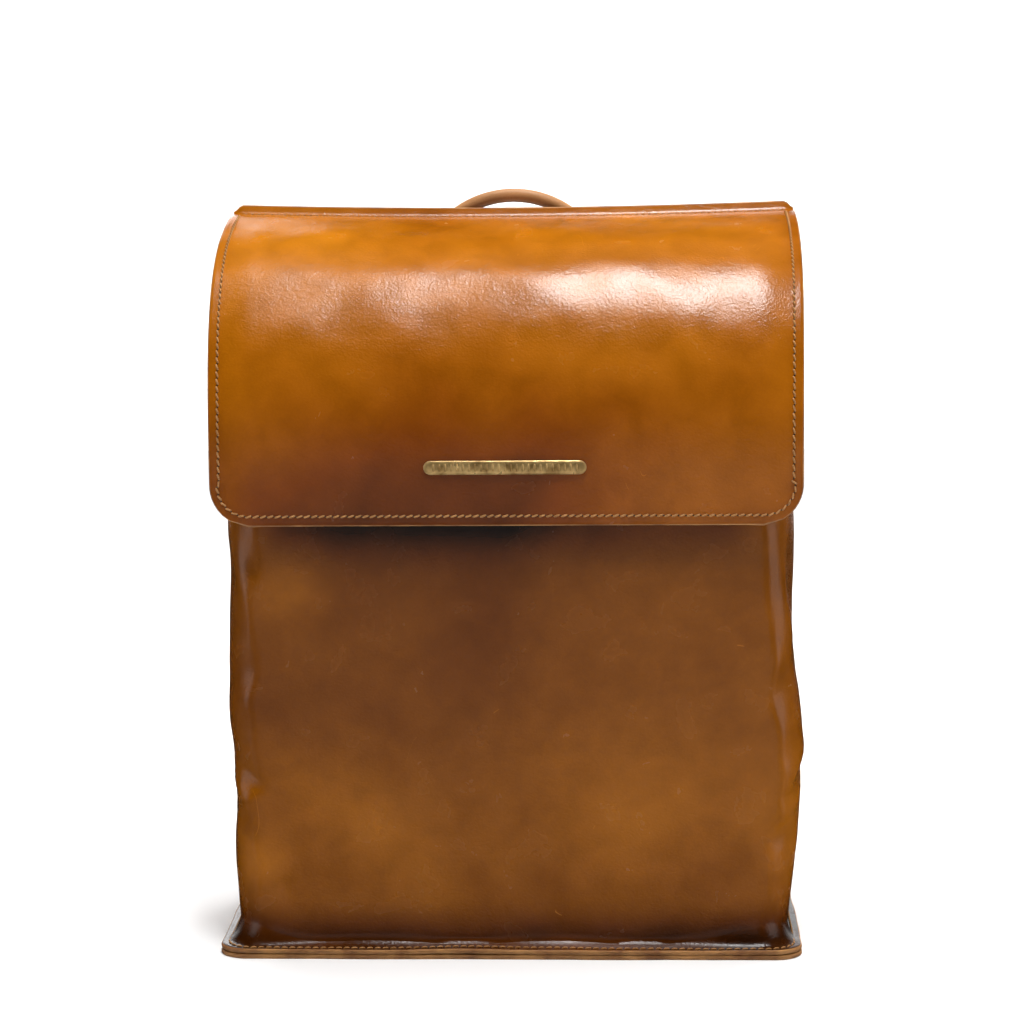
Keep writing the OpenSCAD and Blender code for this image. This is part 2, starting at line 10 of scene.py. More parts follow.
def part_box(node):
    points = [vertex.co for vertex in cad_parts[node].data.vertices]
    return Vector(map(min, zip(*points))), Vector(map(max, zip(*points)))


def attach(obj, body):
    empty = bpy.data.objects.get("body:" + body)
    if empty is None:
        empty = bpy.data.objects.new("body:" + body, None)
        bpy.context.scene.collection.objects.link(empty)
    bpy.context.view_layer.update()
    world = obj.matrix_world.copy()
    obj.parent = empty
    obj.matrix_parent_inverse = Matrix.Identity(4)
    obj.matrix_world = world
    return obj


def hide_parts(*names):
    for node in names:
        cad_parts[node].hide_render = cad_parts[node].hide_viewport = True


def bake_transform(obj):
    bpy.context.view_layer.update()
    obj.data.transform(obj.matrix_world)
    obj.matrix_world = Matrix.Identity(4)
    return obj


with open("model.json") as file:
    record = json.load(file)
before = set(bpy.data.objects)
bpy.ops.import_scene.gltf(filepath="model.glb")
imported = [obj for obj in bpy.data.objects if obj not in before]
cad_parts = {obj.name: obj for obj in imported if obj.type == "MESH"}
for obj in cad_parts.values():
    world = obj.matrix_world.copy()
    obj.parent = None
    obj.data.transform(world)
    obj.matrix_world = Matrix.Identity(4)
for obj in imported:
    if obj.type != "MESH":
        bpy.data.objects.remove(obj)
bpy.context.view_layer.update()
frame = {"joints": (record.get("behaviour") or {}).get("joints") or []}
MM = 0.001
SIDES = ((-1, "left"), (1, "right"))
UP, REAR, FRONT = (0, 0, 1), (0, 1, 0), (0, -1, 0)

# ---------------------------------------------------------------- sizes from the frame
flap_lo, flap_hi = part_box("flap_outer")
base_lo, base_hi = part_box("base_panel")
strip_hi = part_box("flap_seam_strip")[1]
joints = {j["name"]: j for j in frame["joints"]}
hinge_y, hinge_z = joints["flap_hinge"]["pos_m"][1:]

leather = base_hi.z - base_lo.z             # thickness of the body leather
top_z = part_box("back_panel")[1].z           # top of the standing seam
flange = base_hi.x                          # half the width of the base seam
flange_y = base_hi.y                        # half the depth of the base seam
body_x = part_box("anchor_tabs")[1].x + 2.5 * MM   # half the width of the body
front_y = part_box("snap_sockets")[0].y + 2.6 * MM  # front face of the body
back_in = strip_hi.y                        # inner face of the back panel
back_y = back_in + leather                  # outer face of the back panel
yoke_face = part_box("back_yoke")[1].y        # outer face of the yoke
corner_r = 26 * MM                          # upright front corners
flange_r = 14 * MM                          # corners of the base seam
mouth_y = front_y + 22 * MM                 # front edge of the mouth
flap_half = flap_hi.x
flap_low = flap_lo.z
flap_front = flap_lo.y
flap_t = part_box("flap_lining")[0].y - flap_lo.y  # outer leather of the flap
flap_r = 20 * MM                            # lower corners of the flap
flap_drop = front_y - flap_front            # from the flap's face to the body's
ridge_y = strip_hi.y - flap_t               # front face of the standing seam

# the flap's shoulder is a quarter of a superellipse
SHOULDER_A = 150 * MM
SHOULDER_N = 2.5
BEND_Z = 250 * MM
shoulder_y = flap_front + SHOULDER_A
hinge_u = (shoulder_y - hinge_y) / SHOULDER_A
shoulder_b = (hinge_z - BEND_Z) / (1 - hinge_u ** SHOULDER_N) ** (1 / SHOULDER_N)


# ---------------------------------------------------------------- numbers
def smooth(a, b, x):
    """0 below a, 1 above b, and a smooth step between."""
    t = np.clip((np.asarray(x, float) - a) / (b - a), 0, 1)
    return t * t * (3 - 2 * t)


def hump(x, centre, width):
    """1 at the centre, falling smoothly to 0 a few widths away."""
    return np.exp(-((np.asarray(x, float) - centre) / width) ** 2)


def waves(points, size, seed, octaves=2):
    """Smooth noise from -1 to 1 at each point; size is the wave's length in metres."""
    flat = np.asarray(points, float).reshape(-1, 3) / size + seed * 7.31
    value = [noise.fractal(Vector(p), 1.0, 2.0, octaves) for p in flat]
    return np.array(value).reshape(np.asarray(points).shape[:-1])


def runs(line):
    """How far along the polyline each of its points is."""
    return np.concatenate([[0], np.cumsum(np.linalg.norm(np.diff(line, axis=0), axis=1))])


def sampled(at, run, values):
    """Each column of values, given at the runs, read at other runs."""
    return np.stack([np.interp(at, run, column) for column in values.T], axis=1)


def resample(line, step):
    """The polyline again, with points an even step apart."""
    line = np.asarray(line, float)
    run = runs(line)
    return sampled(np.linspace(0, run[-1], max(2, int(round(run[-1] / step)) + 1)), run, line)


def unit(v):
    return v / np.maximum(np.linalg.norm(v, axis=-1, keepdims=True), 1e-12)


def grid_normals(p):
    """Normals of a grid of points, on the side that du x dv faces."""
    return unit(np.cross(np.gradient(p, axis=0), np.gradient(p, axis=1)))


def turned(p, at, direction):
    """The grid and its normals, turned over if the normal at one place faces away from a direction."""
    n = grid_normals(p)
    return (p, n) if np.dot(n[at], direction) > 0 else (p[::-1], -n[::-1])


# ---------------------------------------------------------------- meshes
def link(obj):
    bpy.context.scene.collection.objects.link(obj)
    return obj


def make_object(name, mesh_data, material, body):
    """A smooth mesh object of (vertices, faces), riding on a body; material is one or a list."""
    mesh = bpy.data.meshes.new(name)
    mesh.from_pydata([tuple(map(float, v)) for v in mesh_data[0]], [], mesh_data[1])
    mesh.validate()
    mesh.update()
    mesh.polygons.foreach_set("use_smooth", [True] * len(mesh.polygons))
    obj = link(bpy.data.objects.new(name, mesh))
    for m in material if isinstance(material, list) else [material]:
        mesh.materials.append(m)
    if body:
        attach(obj, body)
    return obj


def bevel(obj, width, segments, limit="ANGLE"):
    modifier = obj.modifiers.new("edge", "BEVEL")
    modifier.width, modifier.segments, modifier.limit_method = width, segments, limit


def loft(rings, flip=False, closed=False):
    """A skin over rings of points: capped at both ends, or joined end to end when it is closed."""
    count, n = len(rings), len(rings[0])
    faces = []
    for i in range(count if closed else count - 1):
        k = (i + 1) % count
        for j in range(n):
            a, b, c, d = i * n + j, i * n + (j + 1) % n, k * n + (j + 1) % n, k * n + j
            faces.append((a, d, c, b) if flip else (a, b, c, d))
    if not closed:
        first, last = tuple(range(n)), tuple(range((count - 1) * n, count * n))
        faces += [first, last[::-1]] if flip else [first[::-1], last]
    return np.concatenate(rings), faces


def joined(parts):
    """Several (vertices, faces) as one."""
    verts, faces, base = [], [], 0
    for v, f in parts:
        verts.append(np.asarray(v, float))
        faces += [tuple(i + base for i in face) for face in f]
        base += len(v)
    return np.concatenate(verts), faces


def rim_order(nu, nv):
    """The grid's border as (i, j) pairs, once round."""
    return (
        [(i, 0) for i in range(nu)]
        + [(nu - 1, j) for j in range(1, nv)]
        + [(i, nv - 1) for i in range(nu - 2, -1, -1)]
        + [(0, j) for j in range(nv - 2, 0, -1)]
    )


RIM_STEPS = 4                               # rings of faces round a sheet's rim


def sheet(name, p, thickness, material, body, edge_material=None, edge=0.35, normals=None):
    """A closed sheet: the grid p is its outer face, and the rim bulges by edge times its thickness."""
    nu, nv = p.shape[:2]
    n = grid_normals(p) if normals is None else np.broadcast_to(np.asarray(normals, float), p.shape)
    flat = nu * nv
    verts = [p.reshape(-1, 3), (p - n * thickness).reshape(-1, 3)]
    faces = []
    for i in range(nu - 1):
        for j in range(nv - 1):
            a, b = i * nv + j, (i + 1) * nv + j
            faces += [(a, b, b + 1, a + 1), (flat + a + 1, flat + b + 1, flat + b, flat + a)]
    loop = np.array([i * nv + j for i, j in rim_order(nu, nv)])
    pts, nrm = verts[0][loop], n.reshape(-1, 3)[loop]
    tangent = unit(np.roll(pts, -1, axis=0) - np.roll(pts, 1, axis=0))
    out = unit(np.cross(tangent, nrm))
    layers = [loop]
    for k in range(1, RIM_STEPS):
        a = math.pi * k / RIM_STEPS
        verts.append(pts - nrm * thickness * (1 - math.cos(a)) / 2 + out * thickness * edge * math.sin(a))
        layers.append(2 * flat + (k - 1) * len(loop) + np.arange(len(loop)))
    layers.append(flat + loop)
    rim = np.concatenate([np.stack([a, b, np.roll(b, -1), np.roll(a, -1)], axis=1)
                          for a, b in zip(layers, layers[1:])])
    faces += [tuple(map(int, f)) for f in rim]
    materials = [material, edge_material] if edge_material else [material]
    obj = make_object(name, (np.concatenate(verts), faces), materials, body)
    if edge_material:
        index = [0] * (len(faces) - len(rim)) + [1] * len(rim)
        obj.data.polygons.foreach_set("material_index", index[: len(obj.data.polygons)])
    return obj


def tube_mesh(path, radius, sides, flatten=1.0, up=UP):
    """A capped tube along a path; radius is a number or one for each point."""
    along = unit(np.gradient(path, axis=0))
    side = unit(np.cross(along, np.tile(up, (len(path), 1))))
    top = np.cross(side, along)
    a = np.arange(sides) * 2 * math.pi / sides
    ring = side[:, None] * np.cos(a)[None, :, None] + top[:, None] * flatten * np.sin(a)[None, :, None]
    r = np.broadcast_to(np.asarray(radius, float), (len(path),))
    return loft(path[:, None] + ring * r[:, None, None])


# a stitch from end to end: place along its half length, thickness and height, as shares
STITCH_AT = np.array([-1.0, -0.72, -0.3, 0.3, 0.72, 1.0])
STITCH_FAT = np.array([0.35, 0.85, 1.0, 1.0, 0.85, 0.35])
STITCH_RISE = np.array([-0.9, 0.1, 0.55, 0.55, 0.1, -0.9]) + 0.25


def stitch_line(line, normals, pitch, length, radius, slant):
    """Thread between the holes of a seam: one capsule to a stitch, sunk at both ends."""
    run = runs(line)
    count = max(1, int(run[-1] / pitch))
    at = (np.arange(count) + 0.5) * run[-1] / count
    nrm = unit(sampled(at, run, normals))
    tangent = unit(sampled(at + 0.3 * MM, run, line) - sampled(at - 0.3 * MM, run, line))
    direction = unit(tangent + np.cross(nrm, tangent) * slant)
    side = unit(np.cross(nrm, direction))
    a = np.arange(6) * math.pi / 3
    turn = side[:, None] * np.cos(a)[None, :, None] + nrm[:, None] * np.sin(a)[None, :, None]
    rings = (
        sampled(at, run, line)[:, None, None]
        + direction[:, None, None] * (STITCH_AT * length / 2)[None, :, None, None]
        + nrm[:, None, None] * (STITCH_RISE * radius)[None, :, None, None]
        + turn[:, None] * (STITCH_FAT * radius)[None, :, None, None]
    )
    return joined([loft(stitch) for stitch in rings])


def hole_line(line, normals, pitch, radius):
    """The awl holes between the stitches: small lens-shaped dents, near-black with painted shade."""
    run = runs(line)
    count = max(1, int(run[-1] / pitch))
    at = np.arange(count + 1) * run[-1] / count
    centre = sampled(at, run, line)
    nrm = unit(sampled(at, run, normals))
    tangent = unit(np.gradient(centre, axis=0))
    side = unit(np.cross(nrm, tangent))
    a = np.arange(8) * math.pi / 4
    turn = tangent[:, None] * np.cos(a)[None, :, None] + side[:, None] * np.sin(a)[None, :, None]
    tips = np.stack([centre + nrm * radius * 0.22, centre - nrm * radius * 0.5], axis=1)
    verts = np.concatenate([centre[:, None] + turn * radius, tips], axis=1)
    faces = [f for k in range(8) for f in ((k, (k + 1) % 8, 8), ((k + 1) % 8, k, 9))]
    return joined([(dent, faces) for dent in verts])


# ---------------------------------------------------------------- materials
class Look:
    """A material's node tree. Its methods add nodes and return the socket that they end in."""

    def __init__(self, name):
        self.material = bpy.data.materials.new(name)
        self.material.use_nodes = True
        self.nodes, self.links = self.material.node_tree.nodes, self.material.node_tree.links

    def put(self, value, socket):
        """Links a socket to another one, or sets it to a number, vector or colour."""
        if isinstance(value, bpy.types.NodeSocket):
            self.links.new(value, socket)
        else:
            socket.default_value = (*value, 1) if socket.type == "RGBA" else value

    def shade(self, **inputs):
        """The shader's inputs, with underscores for the spaces in their names."""
        for name, value in inputs.items():
            self.put(value, self.nodes["Principled BSDF"].inputs[name.replace("_", " ")])
        return self.material

    def node(self, kind, **values):
        n = self.nodes.new("ShaderNode" + kind)
        for key, value in values.items():
            if key in n.inputs:
                self.put(value, n.inputs[key])
            else:
                setattr(n, key, value)
        return n

    def coord(self):
        if "Texture Coordinate" not in self.nodes:
            self.node("TexCoord")
        return self.nodes["Texture Coordinate"].outputs["Object"]

    def noise(self, scale, detail, distortion=0.0, stretch=None):
        source = self.coord()
        if stretch:
            source = self.node("Mapping", Scale=stretch, Vector=source).outputs[0]
        n = self.node("TexNoise", Scale=scale, Detail=detail, Distortion=distortion, Vector=source)
        return n.outputs["Fac"]

    def cells(self, scale):
        return self.node("TexVoronoi", Scale=scale, Vector=self.coord()).outputs["Distance"]

    def math(self, operation, *values, clamp=False):
        n = self.node("Math", operation=operation, use_clamp=clamp)
        for value, socket in zip(values, n.inputs):
            self.put(value, socket)
        return n.outputs[0]

    def mix(self, a, b, factor, blend="MULTIPLY"):
        n = self.node("Mix", data_type="RGBA", blend_type=blend)
        for value, index in ((a, 6), (b, 7), (factor, 0)):
            self.put(value, n.inputs[index])
        return n.outputs[2]

    def ramp(self, source, *stops):
        """A colour ramp; each stop is its position and a colour, or a number for a grey."""
        n = self.node("ValToRGB", Fac=source)
        e = n.color_ramp.elements
        while len(e) < len(stops):
            e.new(0.5)
        for element, (at, color) in zip(e, stops):
            element.position = at
            element.color = (*(color if isinstance(color, tuple) else (color,) * 3), 1)
        return n.outputs[0]

    def bumps(self, *layers):
        """Bump layers, each (height socket, strength, distance in millimetres), on the shader's normal."""
        normal = None
        for height, strength, distance in layers:
            n = self.node("Bump", Strength=strength, Distance=distance * MM, Height=height)
            if normal:
                self.links.new(normal, n.inputs["Normal"])
            normal = n.outputs[0]
        return self.shade(Normal=normal)


SCRATCH = {"width": 0.0016, "cover": 0.66, "strength": 0.25}


def leather_material(name, bright, mid, dark, rough=0.23, spec=0.5):
    """Pull-up leather: cloudy colour, fine pebbled grain, hair-like scratches and soft wrinkles."""
    look = Look(name)
    cloud = look.noise(5, 3, 0.6)
    mottle = look.noise(55, 4, 0.3)
    wrinkle = look.noise(190, 6, 2.2, (1, 1, 1.5))
    grain = look.cells(850)
    pores = look.noise(2100, 2)
    vein = look.noise(26, 1, 1.2, (1, 1, 0.4))
    fade = look.noise(34, 2)
    # The tone attribute adds painted light and painted shade to the cloud; its lowest stop, a tenth of the
    # dark colour, is the near-black of the deepest painted shade, under the flap and by the base seam.
    tone = look.node("Attribute", attribute_name="tone").outputs["Fac"]
    painted_shade_color = tuple(0.1 * c for c in dark)
    cloud = look.math("ADD", cloud, tone, clamp=True)
    color = look.ramp(cloud, (0.0, painted_shade_color), (0.2, dark), (0.5, mid), (0.82, bright))
    color = look.mix(color, look.ramp(mottle, (0.35, (0.86, 0.84, 0.82)), (0.65, (1.06, 1.05, 1.02))), 1.0)
    color = look.mix(color, look.ramp(grain, (0.0, 1), (0.7, (0.9, 0.88, 0.85))), 0.7)
    # scratches are thin lines of equal noise, shown in places
    off = look.math("ABSOLUTE", look.math("SUBTRACT", vein, 0.5))
    line = look.math("LESS_THAN", off, SCRATCH["width"])
    scratch = look.math("MULTIPLY", line, look.math("GREATER_THAN", fade, SCRATCH["cover"]))
    scratch = look.math("MULTIPLY", scratch, SCRATCH["strength"])
    color = look.mix(color, tuple(min(1, c * 1.9 + 0.02) for c in bright), scratch, "MIX")
    roughness = look.ramp(mottle, (0.3, rough * 0.85), (0.7, rough * 1.2))
    look.shade(Base_Color=color, Roughness=roughness, Specular_IOR_Level=spec)
    return look.bumps((wrinkle, 0.26, 0.5), (grain, 0.32, 0.15), (pores, 0.08, 0.05))


def edge_material(name, light, dark):
    """Cut and burnished leather edge: fibres along the layers, uneven stain."""
    look = Look(name)
    stain = look.noise(60, 4, 0.5)
    fibre = look.noise(900, 3, 0.2, (0.25, 0.25, 1.6))
    color = look.ramp(stain, (0.35, dark), (0.62, light))
    color = look.mix(color, look.ramp(fibre, (0.35, (0.72, 0.7, 0.66)), (0.65, (1.1, 1.08, 1.05))), 0.8)
    look.shade(Base_Color=color, Roughness=0.55)
    return look.bumps((fibre, 0.5, 0.2))


def suede_material(name, light, dark):
    look = Look(name)
    nap = look.noise(420, 5, 0.4)
    color = look.ramp(look.noise(22, 3, 0.3), (0.35, dark), (0.65, light))
    color = look.mix(color, look.ramp(nap, (0.3, 0.8), (0.7, 1.1)), 0.9)
    look.shade(Base_Color=color, Roughness=0.85, Sheen_Weight=0.25)
    return look.bumps((nap, 0.5, 0.25))


def twill_material(name, light, dark, threads=900):
    """Woven cotton: two crossed sets of threads, with slubs."""
    look = Look(name)
    slub = look.noise(160, 3, 0.2, (1, 1, 0.3))
    weave = []
    for lean in (0.79, -0.79):
        mapping = look.node("Mapping", Rotation=(0, lean, 0.6), Vector=look.coord())
        wave = look.node("TexWave", Scale=threads, Distortion=0.6, Detail=1, Vector=mapping.outputs[0])
        weave.append(wave.outputs["Fac"])
    cross = look.math("MULTIPLY", *weave)
    color = look.ramp(cross, (0.1, dark), (0.6, light))
    color = look.mix(color, look.ramp(slub, (0.3, 0.86), (0.7, 1.08)), 0.9)
    look.shade(Base_Color=color, Roughness=0.9, Sheen_Weight=0.15)
    return look.bumps((cross, 0.5, 0.15), (slub, 0.3, 0.1))


def thread_material(name, light, dark):
    look = Look(name)
    ply = look.noise(2600, 2, 0.5)
    color = look.ramp(ply, (0.35, dark), (0.6, light))
    color = look.mix(color, look.ramp(look.noise(80, 2), (0.3, (0.85, 0.82, 0.8)), (0.7, 1.05)), 0.8)
    look.shade(Base_Color=color, Roughness=0.5)
    return look.bumps((ply, 0.5, 0.1))


def metal_material(name, light, dark):
    """Antique brass: brushed grain, tarnish in clouds, tiny pits."""
    look = Look(name)
    brush = look.noise(700, 3, 0.1, (0.12, 1, 1))
    tarnish = look.noise(130, 4, 0.4)
    color = look.ramp(tarnish, (0.36, dark), (0.62, light))
    look.shade(Base_Color=color, Metallic=0.62, Roughness=look.ramp(tarnish, (0.3, 0.51), (0.65, 0.272)))
    return look.bumps((brush, 0.12, 0.1), (look.noise(1500, 2), 0.1, 0.05))


def speckled_material(name, light, dark, scale):
    """Foam or board: speckled, with a pitted surface."""
    look = Look(name)
    color = look.ramp(look.noise(scale, 5, 0.2), (0.35, dark), (0.65, light))
    look.shade(Base_Color=color, Roughness=0.9)
    return look.bumps((look.cells(scale * 1.5), 0.4, 0.2))


TAN = leather_material("tan_leather", (0.5, 0.168, 0.002), (0.36, 0.106, 0.0015), (0.2, 0.044, 0.0008))
# The body is the same leather as the flap; its darker colours are painted shade for the upright walls, which
# the light above reaches less.
SHADED_BODY_TAN = leather_material(
    "body_leather", (0.38, 0.122, 0.002), (0.22, 0.064, 0.001), (0.11, 0.026, 0.0006), 0.24, 0.4)
BACK_TAN = leather_material(
    "back_leather", (0.42, 0.14, 0.004), (0.27, 0.082, 0.003), (0.16, 0.04, 0.0015), 0.28)
SADDLE = leather_material(
    "raw_saddle_leather", (0.62, 0.33, 0.14), (0.5, 0.25, 0.1), (0.38, 0.17, 0.06), 0.5)
DARK = leather_material("dark_leather", (0.3, 0.1, 0.02), (0.2, 0.06, 0.012), (0.12, 0.035, 0.008))
EDGE = edge_material("leather_edge", (0.42, 0.2, 0.06), (0.22, 0.085, 0.022))
SUEDE = suede_material("suede", (0.5, 0.29, 0.14), (0.4, 0.21, 0.095))
TWILL = twill_material("lining_twill", (0.5, 0.42, 0.31), (0.34, 0.28, 0.2))
TAPE = twill_material("zip_tape_weave", (0.3, 0.2, 0.12), (0.18, 0.11, 0.06), 1400)
THREAD = thread_material("waxed_thread", (0.52, 0.26, 0.08), (0.26, 0.11, 0.03))
# near-black: painted shade in the awl holes and in the punched holes of the straps
HOLE = thread_material("awl_hole", (0.05, 0.018, 0.006), (0.02, 0.008, 0.003))
BRASS = metal_material("antique_brass", (0.85, 0.58, 0.24), (0.4, 0.24, 0.08))
FOAM = speckled_material("foam_cells", (0.7, 0.67, 0.6), (0.55, 0.52, 0.46), 500)
BOARD = speckled_material("fibre_board", (0.36, 0.31, 0.25), (0.25, 0.21, 0.16), 260)


def set_tone(obj, tone):
    """Stores how bright or dark the leather is at each vertex, around 0, painted light and painted shade
    included; tone is a function of points.
    """
    points = np.array([v.co for v in obj.data.vertices])
    attribute = obj.data.attributes.new("tone", "FLOAT", "POINT")
    attribute.data.foreach_set("value", np.asarray(tone(points), np.float32))


# ---------------------------------------------------------------- camera, floor and light
def look_camera():
    """The photograph's viewing angle: a little to the right, a little above, and hardly rolled."""
    distance = 1.405
    height = 0.4274
    azimuth, pitch, roll = (math.radians(a) for a in (2.29, 7.9, 0.53))
    camera_data = bpy.data.cameras.new("camera")
    camera_data.lens = 99.2
    camera_data.sensor_width = 36
    camera = link(bpy.data.objects.new("camera", camera_data))
    aim = Vector((0.0052, flap_front, 0))
    camera.location = aim + Vector((math.sin(azimuth) * distance, -math.cos(azimuth) * distance, height))
    camera.rotation_mode = "XYZ"
    camera.rotation_euler = (math.pi / 2 - pitch, roll, azimuth)
    bpy.context.scene.camera = camera


def area_light(name, location, target, size, power, shape="RECTANGLE", glossy=True):
    """A softbox the camera doesn't see; with glossy off, no reflection shows it either."""
    data = bpy.data.lights.new(name, "AREA")
    data.shape = shape
    data.size, data.size_y = size
    data.energy = power
    light = link(bpy.data.objects.new(name, data))
    light.location = location
    light.rotation_mode = "QUATERNION"
    light.rotation_quaternion = (Vector(target) - Vector(location)).to_track_quat("-Z", "Y")
    light.visible_camera = False
    light.visible_glossy = glossy


def backdrop(name, line, material):
    """A wide strip of studio surface along a line of (y, z)."""
    verts = np.array([[(x, y, z) for y, z in line] for x in np.linspace(-4, 4, 9)]).reshape(-1, 3)
    nv = len(line)
    faces = [(i * nv + j, (i + 1) * nv + j, (i + 1) * nv + j + 1, i * nv + j + 1)
             for i in range(8) for j in range(nv - 1)]
    obj = make_object(name, (verts, faces), material, None)
    return obj


def studio():
    """A pale floor that fades into its own light far away, a curved wall, and softboxes."""
    white = Look("studio_white").shade(Base_Color=(0.9, 0.9, 0.9), Roughness=0.8)
    floor_look = Look("studio_floor_white")
    length = floor_look.node("VectorMath", operation="LENGTH")
    floor_look.put(floor_look.coord(), length.inputs[0])
    far = floor_look.math("MULTIPLY", length.outputs["Value"], 0.4)
    pale = floor_look.shade(
        Base_Color=floor_look.ramp(far, (0.26, 0.9), (0.7, 0.02)),
        Emission_Color=floor_look.ramp(far, (0.26, 0.0), (0.7, 0.93)), Emission_Strength=1, Roughness=0.8)
    backdrop("studio_floor", [(-4.0, 0.0), (2.2, 0.0)], pale).visible_glossy = False
    curve = [(2.2 + 0.8 * math.sin(a), 0.8 - 0.8 * math.cos(a)) for a in np.linspace(0, math.pi / 2, 12)]
    backdrop("studio_wall", curve + [(3.0, 1.3)], white)
    world = bpy.data.worlds.new("studio_world")
    bpy.context.scene.world = world
    world.use_nodes = True
    world.node_tree.nodes["Background"].inputs[0].default_value = (1, 1, 1, 1)
    world.node_tree.nodes["Background"].inputs[1].default_value = 0.95
    world.cycles_visibility.diffuse = False
    world.cycles_visibility.glossy = False
    for name, place, target, size, power in (
        ("key_top", (0.12, -0.32, 2.0), (0.05, 0.0, 0.33), (0.36, 1.2), 26),
        ("key_left", (-0.3, 0.16, 2.0), (-0.1, 0.0, 0.35), (0.5, 0.14), 1.0),
        ("low_card", (0.05, -0.95, 0.02), (0.0, 0.0, 0.1), (1.1, 0.4), 0.35),
        ("left_card", (-1.15, -0.35, 0.35), (0.0, 0.0, 0.2), (0.7, 0.9), 1.8),
        ("right_card", (1.15, -0.35, 0.35), (0.0, 0.0, 0.2), (0.7, 0.9), 1.8),
    ):
        area_light(name, place, target, size, power, "ELLIPSE")
    for name, place, size, power in (
        ("fill_top", (0.05, -0.65, 2.2), (0.9, 0.5), 22), ("fill_front", (0.3, -2.6, 1.2), (1.6, 1.2), 2),
        ("fill_back", (0.6, 2.0, 1.8), (1.2, 1.0), 24), ("fill_side", (2.2, 0.2, 1.2), (1.0, 1.0), 12),
        ("floor_wash", (0, 1.2, 2.9), (2.6, 1.2), 26),
    ):
        area_light(name, place, (0, 0, 0.2), size, power, glossy=False)
    area_light("wall_wash", (0, 1.4, 2.4), (0, 3.0, 0.4), (3.5, 0.8), 90, glossy=False)
    area_light("back_card", (-0.7, 2.4, 1.1), (0, 0.1, 0.2), (0.5, 0.9), 4)
    bpy.context.scene.view_settings.view_transform = "Standard"


look_camera()
studio()


# ---------------------------------------------------------------- the flap
def shoulder_line(from_y, steps=200):
    """The shoulder curve from a depth forward, as (y, z) points."""
    t0 = math.asin(((shoulder_y - from_y) / SHOULDER_A) ** (SHOULDER_N / 2))
    t = np.linspace(t0, math.pi / 2, steps)
    return np.stack([shoulder_y - SHOULDER_A * np.sin(t) ** (2 / SHOULDER_N),
                     BEND_Z + shoulder_b * np.maximum(np.cos(t), 0) ** (2 / SHOULDER_N)], axis=1)


def flap_profile():
    """The flap's outer face from the top of the standing seam to the lower edge, as (y, z) points."""
    fillet = 3.2 * MM
    a = np.linspace(0, -math.pi / 2, 8)
    bend = np.stack([ridge_y - fillet + fillet * np.cos(a), hinge_z + fillet + fillet * np.sin(a)], axis=1)
    return np.concatenate([[(ridge_y, top_z)], bend, shoulder_line(hinge_y), [(flap_front, flap_low)]])


def flap_grid():
    """Points of the flap's outer face, (across, along, 3), and how far along each row is."""
    line = resample(flap_profile(), 2.6 * MM)
    run = runs(line)
    near = run[-1] - run
    half = np.full(len(line), flap_half)
    corner = near < flap_r
    half[corner] -= flap_r - np.sqrt(np.maximum(flap_r ** 2 - (flap_r - near[corner]) ** 2, 0))
    u = np.linspace(-1, 1, 121)
    u = np.sign(u) * (1 - (1 - np.abs(u)) ** 1.15)
    y, z = (np.tile(line[:, k], (len(u), 1)) for k in (0, 1))
    return np.stack([u[:, None] * half[None, :], y, z], axis=2), run


def flap_shape(p, run):
    """Sags the top edge, waves the shoulder and curls the sides, as worn leather does."""
    n = grid_normals(p)
    n = n if n[60, 40, 2] > 0 else -n
    x = p[..., 0] / flap_half
    s = run[None, :]
    free = smooth(0.0, 40 * MM, s) * (1 - 0.75 * smooth(run[-1] - 110 * MM, run[-1] - 60 * MM, s))
    wave = waves(p, 95 * MM, 1) * 2.0 * MM + waves(p, 34 * MM, 2) * 0.5 * MM
    dip = -1.4 * MM * hump(p[..., 0], -20 * MM, 70 * MM) * hump(s, 60 * MM, 30 * MM)
    swell = 1.5 * MM * hump(p[..., 0], 70 * MM, 60 * MM) * hump(s, 95 * MM, 35 * MM)
    p = p + n * ((wave + dip + swell) * free)[..., None]
    p[..., 2] -= 2.6 * MM * (1 - x ** 2) * (1 - smooth(20 * MM, 75 * MM, s))
    curl = smooth(0.86, 1.0, np.abs(x)) * smooth(10 * MM, 50 * MM, s)
    p = p - n * (curl * 1.4 * MM)[..., None]
    p[..., 2] -= 3.4 * MM * smooth(0.965, 1.0, np.abs(x)) ** 1.5 * (1 - smooth(1 * MM, 5 * MM, s))
    p[..., 0] += 0.9 * MM * np.sin(s / (48 * MM) + 0.6) * np.sign(x) * np.abs(x) ** 6
    return p


flap_points, flap_run = flap_grid()
flap_total = flap_run[-1]
flap_points, flap_n = turned(flap_shape(flap_points, flap_run), (60, 40), UP)
LINING_LEATHER = 1.15 * MM


def flap_tone(p):
    """Painted light over the shoulder and painted shade low down, where the face turns from the light above;
    darker along the side edges and in a patch on the left.
    """
    x = np.abs(p[:, 0]) / flap_half
    # painted light: the shoulder faces up to the light above
    high = smooth(0.24, 0.36, p[:, 2])
    # painted shade low on the front, which faces away from the light above
    low = 1 - smooth(0.222, 0.3, p[:, 2])
    left = hump(p[:, 0], -0.11, 0.05) * hump(p[:, 2], 0.27, 0.05)
    return 0.16 * high - 0.1 - 0.1 * smooth(0.93, 1.0, x) - 0.1 * low - 0.04 * left


def make_flap():
    outer = sheet("flap_leather", flap_points, flap_t, TAN, None, EDGE, edge=0.3)
    set_tone(outer, flap_tone)
    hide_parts("flap_outer", "flap_seam_strip")
    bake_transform(outer)
    under = (flap_points - flap_n * (flap_t + 0.05 * MM))[:, flap_run > 9 * MM]
    lining = sheet("flap_lining_leather", under, LINING_LEATHER, SUEDE, None, EDGE, edge=0.3)
    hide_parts("flap_lining")
    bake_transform(lining)


